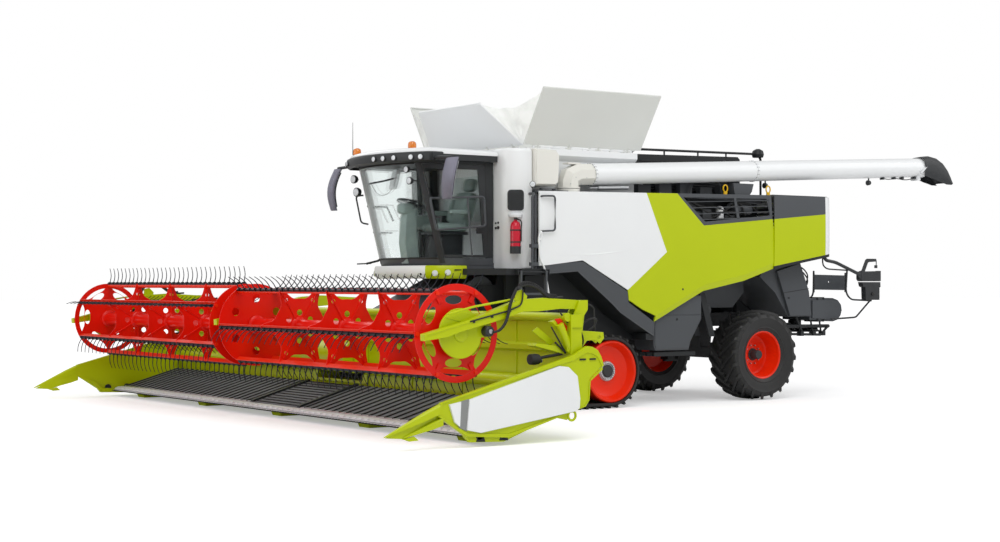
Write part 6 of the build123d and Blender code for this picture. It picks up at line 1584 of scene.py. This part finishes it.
def makeTracks(values):
    y, half, radius, belt = values["centreY"], values["half"], values["radius"], values["belt"]
    share = np.linspace(0, 1, 160, False)
    rows = []
    for out, across in ((belt, -half + 0.015), (belt, half - 0.015), (belt - 0.015, half), (0.008, half),
            (0.0, half - 0.01), (0.0, -half + 0.01), (0.008, -half), (belt - 0.015, -half)):
        x, z, _ = loopSpots(share, radius + out, values)
        rows.append(columns(x, y + across, z))
    band = grid(np.stack(rows, axis=1), wrapRows=True, wrapColumns=True)
    # each lug is a bar from the middle to the edge, swept back; the two halves alternate
    bar = np.array([(0.055, y + 0.01), (0.1, y + 0.01), (0.02, y + half), (-0.03, y + half)])
    top = scaled(bar, bar.mean(axis=0), (0.8, 0.97))
    lug = loft([onPlane(bar, -0.004, "z"), onPlane(top, values["lugHeight"], "z")])
    count = values["lugs"]
    inner = (lug[0] * (1, -1, 1) + (0, 2 * y, 0), lug[1], lug[2])
    lugs = [aroundLoop(lug, np.arange(count) / count, radius + belt, values),
        aroundLoop(inner, (np.arange(count) + 0.5) / count, radius + belt, values)]
    guide = slab([(-0.035, 0.002), (0.035, 0.002), (0.022, -0.055), (-0.022, -0.055)], y - 0.03, y + 0.03)
    guides = aroundLoop(guide, np.arange(count) / count, radius, values)
    addPiece("trackBelts", [([band, lugs, guides], "black_rubber")], replaces=["track_belts"], bevel=0.003,
        segments=1, both=True)
    dish = [(0.03, 0.145), (0.18, 0.15), (0.2, 0.142), (0.3, 0.148), (0.372, 0.172), (0.398, 0.225),
        (0.412, 0.27), (0.425, 0.288), (0.448, 0.292), (0.4635, 0.28), (0.4635, 0.06), (0.4, 0.052),
        (0.36, 0.045), (0.33, 0.0)]
    dish += [(radius, -along) for radius, along in dish[-2::-1]]
    flange = [(0.102, 0.172), (0.145, 0.17), (0.15, 0.164), (0.15, 0.148)]
    bolts = lathe([(0.014, 0.165), (0.014, 0.192), (0.008, 0.196)], origin, sides=6)
    ring = onPlane(circle((0, 0), 0.124), 0)
    wheels, caps, boltRings = [], [], []
    for x in (values["frontX"], values["rearX"]):
        centre = (x, y, values["axleZ"])
        wheels.append(lathe(dish, centre, sides=72))
        caps.append(lathe([(0.02, 0.206), (0.08, 0.203), (0.094, 0.19), (0.094, 0.171)], centre, sides=32))
        boltRings += [lathe(flange, centre), moved(rowOf(bolts, ring), centre)]
    rollers = []
    for x in (-0.16, 0.27):
        for across in (-0.16, 0.16):
            rollers.append(lathe([(0.03, 0.06), (0.09, 0.06), (0.11, 0.04), (0.14, 0.05), (0.145, 0.1),
                (0.166, 0.1), (0.168, 0.09), (0.168, -0.09), (0.166, -0.1), (0.145, -0.1), (0.11, -0.04),
                (0.03, -0.06)], (x, y + across, 0.25), sides=40))
    addPiece("trackWheels", [(wheels, "orange_paint"), ([caps, rollers], "cast"), (boltRings, "steel")],
        replaces=["track_wheels"], both=True)


# straw chopper and spreader under the hood: folded side plates, a drum guard, discs with paddles
def makeChopper():
    front = [(-4.085, 1.956), (-4.165, 2.09), (-4.6, 2.14), (-4.95, 2.205), (-5.15, 1.72), (-5.215, 1.305),
        (-4.715, 1.305), (-4.42, 1.7)]
    core = slab(front, -1.2, 1.2)
    fold = [(-4.417, 2.052), (-4.946, 2.187), (-5.147, 1.718), (-5.205, 1.315), (-4.713, 1.315)]
    sheet = loft([onPlane(fold, 1.2), onPlane(scaled(fold, (-4.88, 1.72), 0.985), 1.25)])
    crease = [slab([(-4.56, 1.7), (-5.135, 1.77), (-5.135, 1.758), (-4.565, 1.69)], 1.246, 1.2525),
        box((-4.7, 1.248, 1.6), (-4.66, 1.256, 1.625))]
    guard = [(-5.215, 1.6), (-5.5, 1.612), (-5.76, 1.606), (-5.88, 1.57), (-5.955, 1.49), (-5.972, 1.4),
        (-5.94, 1.31), (-5.86, 1.24), (-5.76, 1.215), (-5.215, 1.25)]
    drum = slab(guard, 0.56, 1.19)
    cover = slab(scaled(guard, (-5.6, 1.41), (0.88, 0.84)), 1.19, 1.215)
    bands = [slab(rectangle(x, 1.622, x - 0.025, 1.215), 0.9, 1.205) for x in (-5.38, -5.52)]
    discs = lathe([(0.05, 1.075), (0.43, 1.07), (0.44, 1.06), (0.43, 1.045), (0.05, 1.04)], (-5.42, 0.64, 0),
        "z", 48)
    paddle = slab([(-5.36, 1.075), (-5.02, 1.075), (-5.04, 1.15), (-5.34, 1.15)], 0.634, 0.646)
    paddles = turned(paddle, np.arange(6) * np.pi / 3, (-5.42, 0.64, 0), "z")
    motor = lathe([(0.09, 1.15), (0.11, 1.08), (0.11, 1.23), (0.06, 1.255), (0.02, 1.26)], (-5.42, 0.64, 0),
        "z", 24)
    frames = [tube([(-4.66, 1.13, 1.15), (-5.72, 1.13, 1.14)], 0.03, 10),
        tube([(-4.8, 1.1, 1.02), (-5.5, 1.16, 1.0), (-5.66, 1.16, 1.13)], 0.022, 8),
        tube([(-4.95, 1.14, 1.3), (-5.1, 1.14, 1.02)], 0.024, 8)]
    frames += [box((x, 1.09, 0.985), (x - 0.07, 1.19, 1.06)) for x in (-5.02, -5.3,
        -5.52)] + [tube([(x, 1.12, 1.3), (x - 0.05, 1.12, 1.05)], 0.016, 8) for x in (-5.3, -5.5)]
    cross = box((-4.98, -1.0, 1.115), (-4.88, 1.0, 1.2))
    hoses = [bentTube([(-4.9, 1.15, 2.16), (-5.06, 1.2, 2.1 - k), (-5.17, 1.21, 1.98 - k),
        (-5.1, 1.2, 1.8 - k), (-5.16, 1.18, 1.66 - k)], 0.07, 0.012) for k in (0.0, 0.07)]
    addPiece("strawChopper", [([core, bothSides([sheet, drum, cover])], "grey_paint"),
        ([bothSides([crease, bands, discs, paddles, motor, frames, hoses]), cross], "dark_steel")],
        replaces=["chopper", "spreader"], bevel=0.008)


# lamp carriers behind the hood: a bent arm, a hooked plate, two black boxes and a light tube frame
def makeLampArms():
    arm = bentTube([(-5.255, 1.48, 2.33), (-5.27, 1.49, 2.23), (-5.5, 1.5, 2.195), (-6.06, 1.5, 2.0)], 0.06,
        0.028, 12)
    second = bentTube([(-5.235, 1.47, 2.32), (-5.225, 1.475, 2.15), (-5.32, 1.48, 2.085),
        (-5.8, 1.49, 2.065)], 0.07, 0.013)
    hook = slab([(-6.01, 1.985), (-6.06, 2.055), (-6.11, 2.065), (-6.205, 2.245), (-6.24, 2.262),
        (-6.455, 2.262), (-6.47, 2.215), (-6.28, 2.205), (-6.255, 2.19), (-6.19, 2.06), (-6.13, 1.925),
        (-6.09, 1.905)], 1.494, 1.512)
    drop = [box((-6.468, 1.496, 2.14), (-6.455, 1.51, 2.23)),
        box((-6.48, 1.49, 2.105), (-6.425, 1.516, 2.155))]
    upper = slab([(-6.09, 2.048), (-6.54, 2.056), (-6.56, 2.062), (-6.56, 1.89), (-6.54, 1.885),
        (-6.12, 1.885), (-6.09, 1.92)], 1.4, 1.518)
    lower = slab([(-6.12, 1.872), (-6.555, 1.872), (-6.56, 1.79), (-6.535, 1.78), (-6.535, 1.572),
        (-6.205, 1.572), (-6.195, 1.78), (-6.14, 1.8)], 1.41, 1.512)
    facing = box((-6.566, 1.42, 1.91), (-6.556, 1.5, 2.04))
    wires = [bentPath([(-5.812, 1.46, 2.08), (-5.78, 1.46, 1.7), (-5.89, 1.46, 1.582), (-6.39, 1.46, 1.56)],
        0.08), bentPath([(-6.385, 1.45, 1.575), (-6.08, 1.4, 1.285), (-5.6, 1.3, 1.258)], 0.04),
        bentPath([(-5.5, 1.005, 2.06), (-5.49, 1.005, 1.66), (-5.4, 1.0, 1.59)], 0.08)]
    stays = [tube(path, 0.016, 8) for path in wires] + [tube([(-5.8, 1.46, z), (-6.23, 1.02, z)], 0.012, 8)
        for z in (1.92, 1.8)]
    sheet = plate([(-5.52, 1.745), (-6.25, 1.735), (-6.25, 1.985), (-5.52, 1.997)],
        [circle((-5.86, 1.875), 0.012, 8)], 0.99, 1.0)
    ends = [tube([(x, 0.995, 1.7), (x, 0.995, 2.03)], 0.018, 8) for x in (-5.51, -6.262)]
    lamp = lathe([(0.03, 1.515), (0.03, 1.53)], (-6.36, 0, 1.67), sides=16)
    black = [arm, second, hook, drop, upper, lower, stays, ends]
    addPiece("rearLampArms", [(black, "black_plastic"), (sheet, "grey_paint"), (facing, "red_lens"),
        (lamp, "black_rubber")], replaces=["rear_lamp_arms"], bevel=0.006, both=True)


# deck machinery behind the tank: cooler housing with slatted sides, rails, pipes and the exhaust stub
def makeDeck():
    housing = slab([(-1.64, 3.23), (-1.64, 3.8), (-1.7, 3.85), (-3.85, 3.89), (-3.895, 3.85), (-3.895, 3.23)],
        -0.94, 0.94)
    slats = [box((x, 0.938, 3.3), (x - 0.4, 0.95, 3.325)) for x in (-1.8, -2.32, -2.84, -3.36)]
    slats = rowOf(slats, [(0, 0, 0.055 * k) for k in range(9)])
    rail = bentPath([(-1.62, 0.93, 3.86), (-1.7, 0.93, 3.925), (-4.22, 0.93, 3.955), (-4.36, 0.93, 3.9),
        (-4.36, 0.93, 3.24)], 0.05)
    posts = [tube([(x, 0.93, 3.84), (x, 0.93, 3.935)], 0.014, 8) for x in (-2.3, -3.0, -3.6)]
    knob = lathe([(0.02, 3.9), (0.085, 3.9), (0.1, 3.95), (0.085, 4.01), (0.03, 4.04)], (-4.3, 0.93, 0), "z",
        24)
    pipes = [bentTube([(-0.55 - 0.1 * k, 1.02, 3.26 + 0.05 * k), (-1.6, 1.06, 3.27 + 0.05 * k),
        (-2.2, 1.1, 3.33 + 0.03 * k), (-3.2, 1.06, 3.28 + 0.05 * k)], 0.2, 0.018) for k in range(4)]
    blocks = [box((-1.55 - 0.42 * k, 0.99, 3.235), (-1.8 - 0.42 * k, 1.2, 3.36 + 0.03 * (k % 3)))
        for k in range(5)]
    valveGuard = [bentTube([(-2.55, 1.25, 3.24), (-2.62, 1.25, 3.47), (-3.15, 1.25, 3.47),
        (-3.22, 1.25, 3.24)], 0.05, 0.014)]
    valves = [lathe([(0.035, 3.36), (0.035, 3.42), (0.015, 3.43)], (x, 1.08, 0), "z", 16)
        for x in (-1.7, -2.1, -2.52)]
    stack = lathe([(0.085, 3.24), (0.105, 3.26), (0.105, 3.8), (0.06, 3.84), (0.055, 3.895), (0.046, 3.895),
        (0.046, 3.85), (0.02, 3.84)], (-3.3, 0.52, 0), "z", 32)
    lids = [box((-1.9 - 0.95 * k, -0.85, 3.855 + 0.016 * k), (-2.7 - 0.95 * k, 0.3, 3.87 + 0.016 * k))
        for k in range(2)]
    addPiece("deckMachinery", [([housing, bothSides(slats), bothSides(tube(rail, 0.02, 10)), posts,
        bothSides(knob), pipes, lids], "dark_steel"), ([blocks, valveGuard], "grey_paint"),
        ([valves, stack], "steel")], replaces=["cooler", "exhaust"], bevel=0.006)
    # access ladder: two rails and ribbed treads
    rails = [box((x, 1.672, 0.485), (x + 0.03, 1.722, 2.03)) for x in (0.562, 1.008)]
    treads = [slab([(1.655, z), (1.735, z), (1.735, z + 0.035), (1.729, z + 0.012), (1.661, z + 0.012),
        (1.655, z + 0.035)], 0.585, 1.012, "x") for z in 0.522 + 0.29 * np.arange(5)]
    hinge = tube([(0.545, 1.695, 2.01), (1.055, 1.695, 2.01)], 0.013, 10)
    addPiece("ladderSteps", [([rails, treads, hinge], "grey_paint")], "ladder",
        replaces=["ladder"], bevel=0.003)


makeRearWheels(wheelValues)
makeTracks(trackValues)
makeChopper()
makeLampArms()
makeDeck()
print("wheels, tracks and rear made")

# on the header's ends: a bracket under each arm, its lift cylinder, a pump with its guard, and hoses
def makeArmFittings():
    y = 5.27
    leg = slab([(3.18, 1.4), (3.06, 1.3), (2.9, 1.27), (2.72, 1.281), (2.69, 1.49), (2.86, 1.48),
        (3.02, 1.44)], y - 0.04, y + 0.04)
    ears = [plate([(2.76, 1.29), (2.52, 1.275), (2.35, 1.262), (2.34, 1.19), (2.4, 1.125), (2.47, 1.17),
        (2.6, 1.165), (2.66, 1.095), (2.76, 1.1)], [circle((2.42, 1.205), 0.026, 12),
        circle((2.7, 1.19), 0.024, 12)], side, side + 0.012) for side in (5.15, 5.23)]
    barrel = sweep(np.array([(3.085, y + 0.07, 1.37), (2.93, y + 0.07, 1.06)]), circle((0, 0), 0.046, 20))
    shelf = slab([(3.16, 1.12), (2.93, 1.14), (2.9, 1.04), (3.02, 1.02), (3.42, 1.12), (3.4, 1.15)], 5.14,
        5.32)
    lime = [leg, ears, barrel, shelf, slab([(3.3, 1.335), (3.05, 1.16), (3.12, 1.12), (3.38, 1.29)], 5.18,
        5.2)]
    cover = lathe([(0.03, 3.352), (0.058, 3.365), (0.066, 3.42), (0.062, 3.49), (0.02, 3.5)],
        (0, y + 0.03, 0.965), "x", 24)
    rods = [tube([(3.38, y + 0.03, 0.975), (3.02, y + 0.03, 1.02)], 0.019, 10),
        tube([(3.2, 5.33, 1.34), (3.0, 5.33, 1.05)], 0.01, 8),
        tube([(3.15, 5.335, 1.16), (2.99, 5.335, 1.03)], 0.012, 8)]
    loops = [bentPath([(2.665, 5.2, 1.29), (2.64, 5.22, 1.38), (2.549, 5.24, 1.43), (2.43, 5.22, 1.43),
        (2.45, 5.2, 1.34), (2.56, 5.18, 1.27)], 0.05), bentPath([(2.86, 5.1, 1.4), (2.95, 5.1, 1.575),
        (2.541, 5.1, 1.61), (2.385, 5.1, 1.575), (2.4, 5.14, 1.24)], 0.07)]
    loops += [bentPath([(3.06, 5.325, 1.5), (2.9, 5.33, 1.33), (2.76, 5.32, 1.3), (2.68, 5.29, 1.15),
        (2.76, 5.27, 1.02)], 0.08)]
    black = [cover, rods] + [tube(path, 0.011, 8) for path in loops]
    clamps = slab([(3.137, 1.43), (3.06, 1.44), (2.93, 1.32), (2.96, 1.285), (3.06, 1.33)], y + 0.03,
        y + 0.05)
    nose = lathe([(0.022, 3.35), (0.03, 3.352), (0.022, 3.34), (0.01, 3.338)], (0, y + 0.06, 0.95), "x", 16)
    addPiece("armFittings", [(lime, "lime_paint"), (black, "black_rubber"), (clamps, "orange_paint"),
        (nose, "steel")], "header", bevel=0.004, both=True)

    # on the arm: a hose bracket, the guarded hoses back over the arm, a line and its clips
    mast = slab([(3.7, 1.6), (3.7, 1.755), (3.61, 1.775), (3.53, 1.701), (3.55, 1.6)], y + 0.02, y + 0.036)
    guard = bentPath([(3.69, 5.325, 1.79), (3.64, 5.325, 1.835), (3.528, 5.32, 1.85), (3.374, 5.31, 1.805),
        (3.263, 5.3, 1.715), (3.151, 5.29, 1.69), (3.0, 5.27, 1.7)], 0.09)
    coil = lathe([(0.026, -0.007), (0.032, 0.0), (0.026, 0.007)], origin, "x", 12)
    cords = [tube(guard + (0, 0.016 * k, -0.012 * abs(k)), 0.014, 8)
        for k in (-1, 1)] + [rowOf(coil, guard[2:-2])]
    clips = [box((x, y + 0.03, z), (x - 0.03, y + 0.055, z + 0.03))
        for x, z in ((4.3, 1.4), (4.05, 1.455), (3.8, 1.52))]
    line = bentTube([(4.34, y + 0.055, 1.415), (3.8, y + 0.055, 1.535), (3.62, y + 0.055, 1.6),
        (3.6, y + 0.055, 1.78)], 0.06, 0.009)
    addPiece("armHoses", [(mast, "lime_paint"), ([cords, clips, line], "black_rubber")], "reel_arms",
        smooth=50, both=True)

    # hoses from that bracket to the drive motor, drawn bent between arm and carriage
    path = bentPath([(3.69, 5.33, 1.8), (3.78, 5.335, 1.65), (3.815, 5.34, 1.52), (3.86, 5.345, 1.4),
        (3.94, 5.345, 1.31), (4.02, 5.33, 1.29)], 0.07)
    hoses = [tube(path + (0.016 * k, 0.012 * k, 0), 0.013, 8) for k in (-1, 0, 1)]
    for name, side, shape in (("leftMotorHoses", 1, hoses), ("rightMotorHoses", -1, mirrored(hoses))):
        piece = addPiece(name, [(shape, "black_rubber")], None, smooth=50)
        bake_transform(piece)


makeArmFittings()
print("arm fittings made")
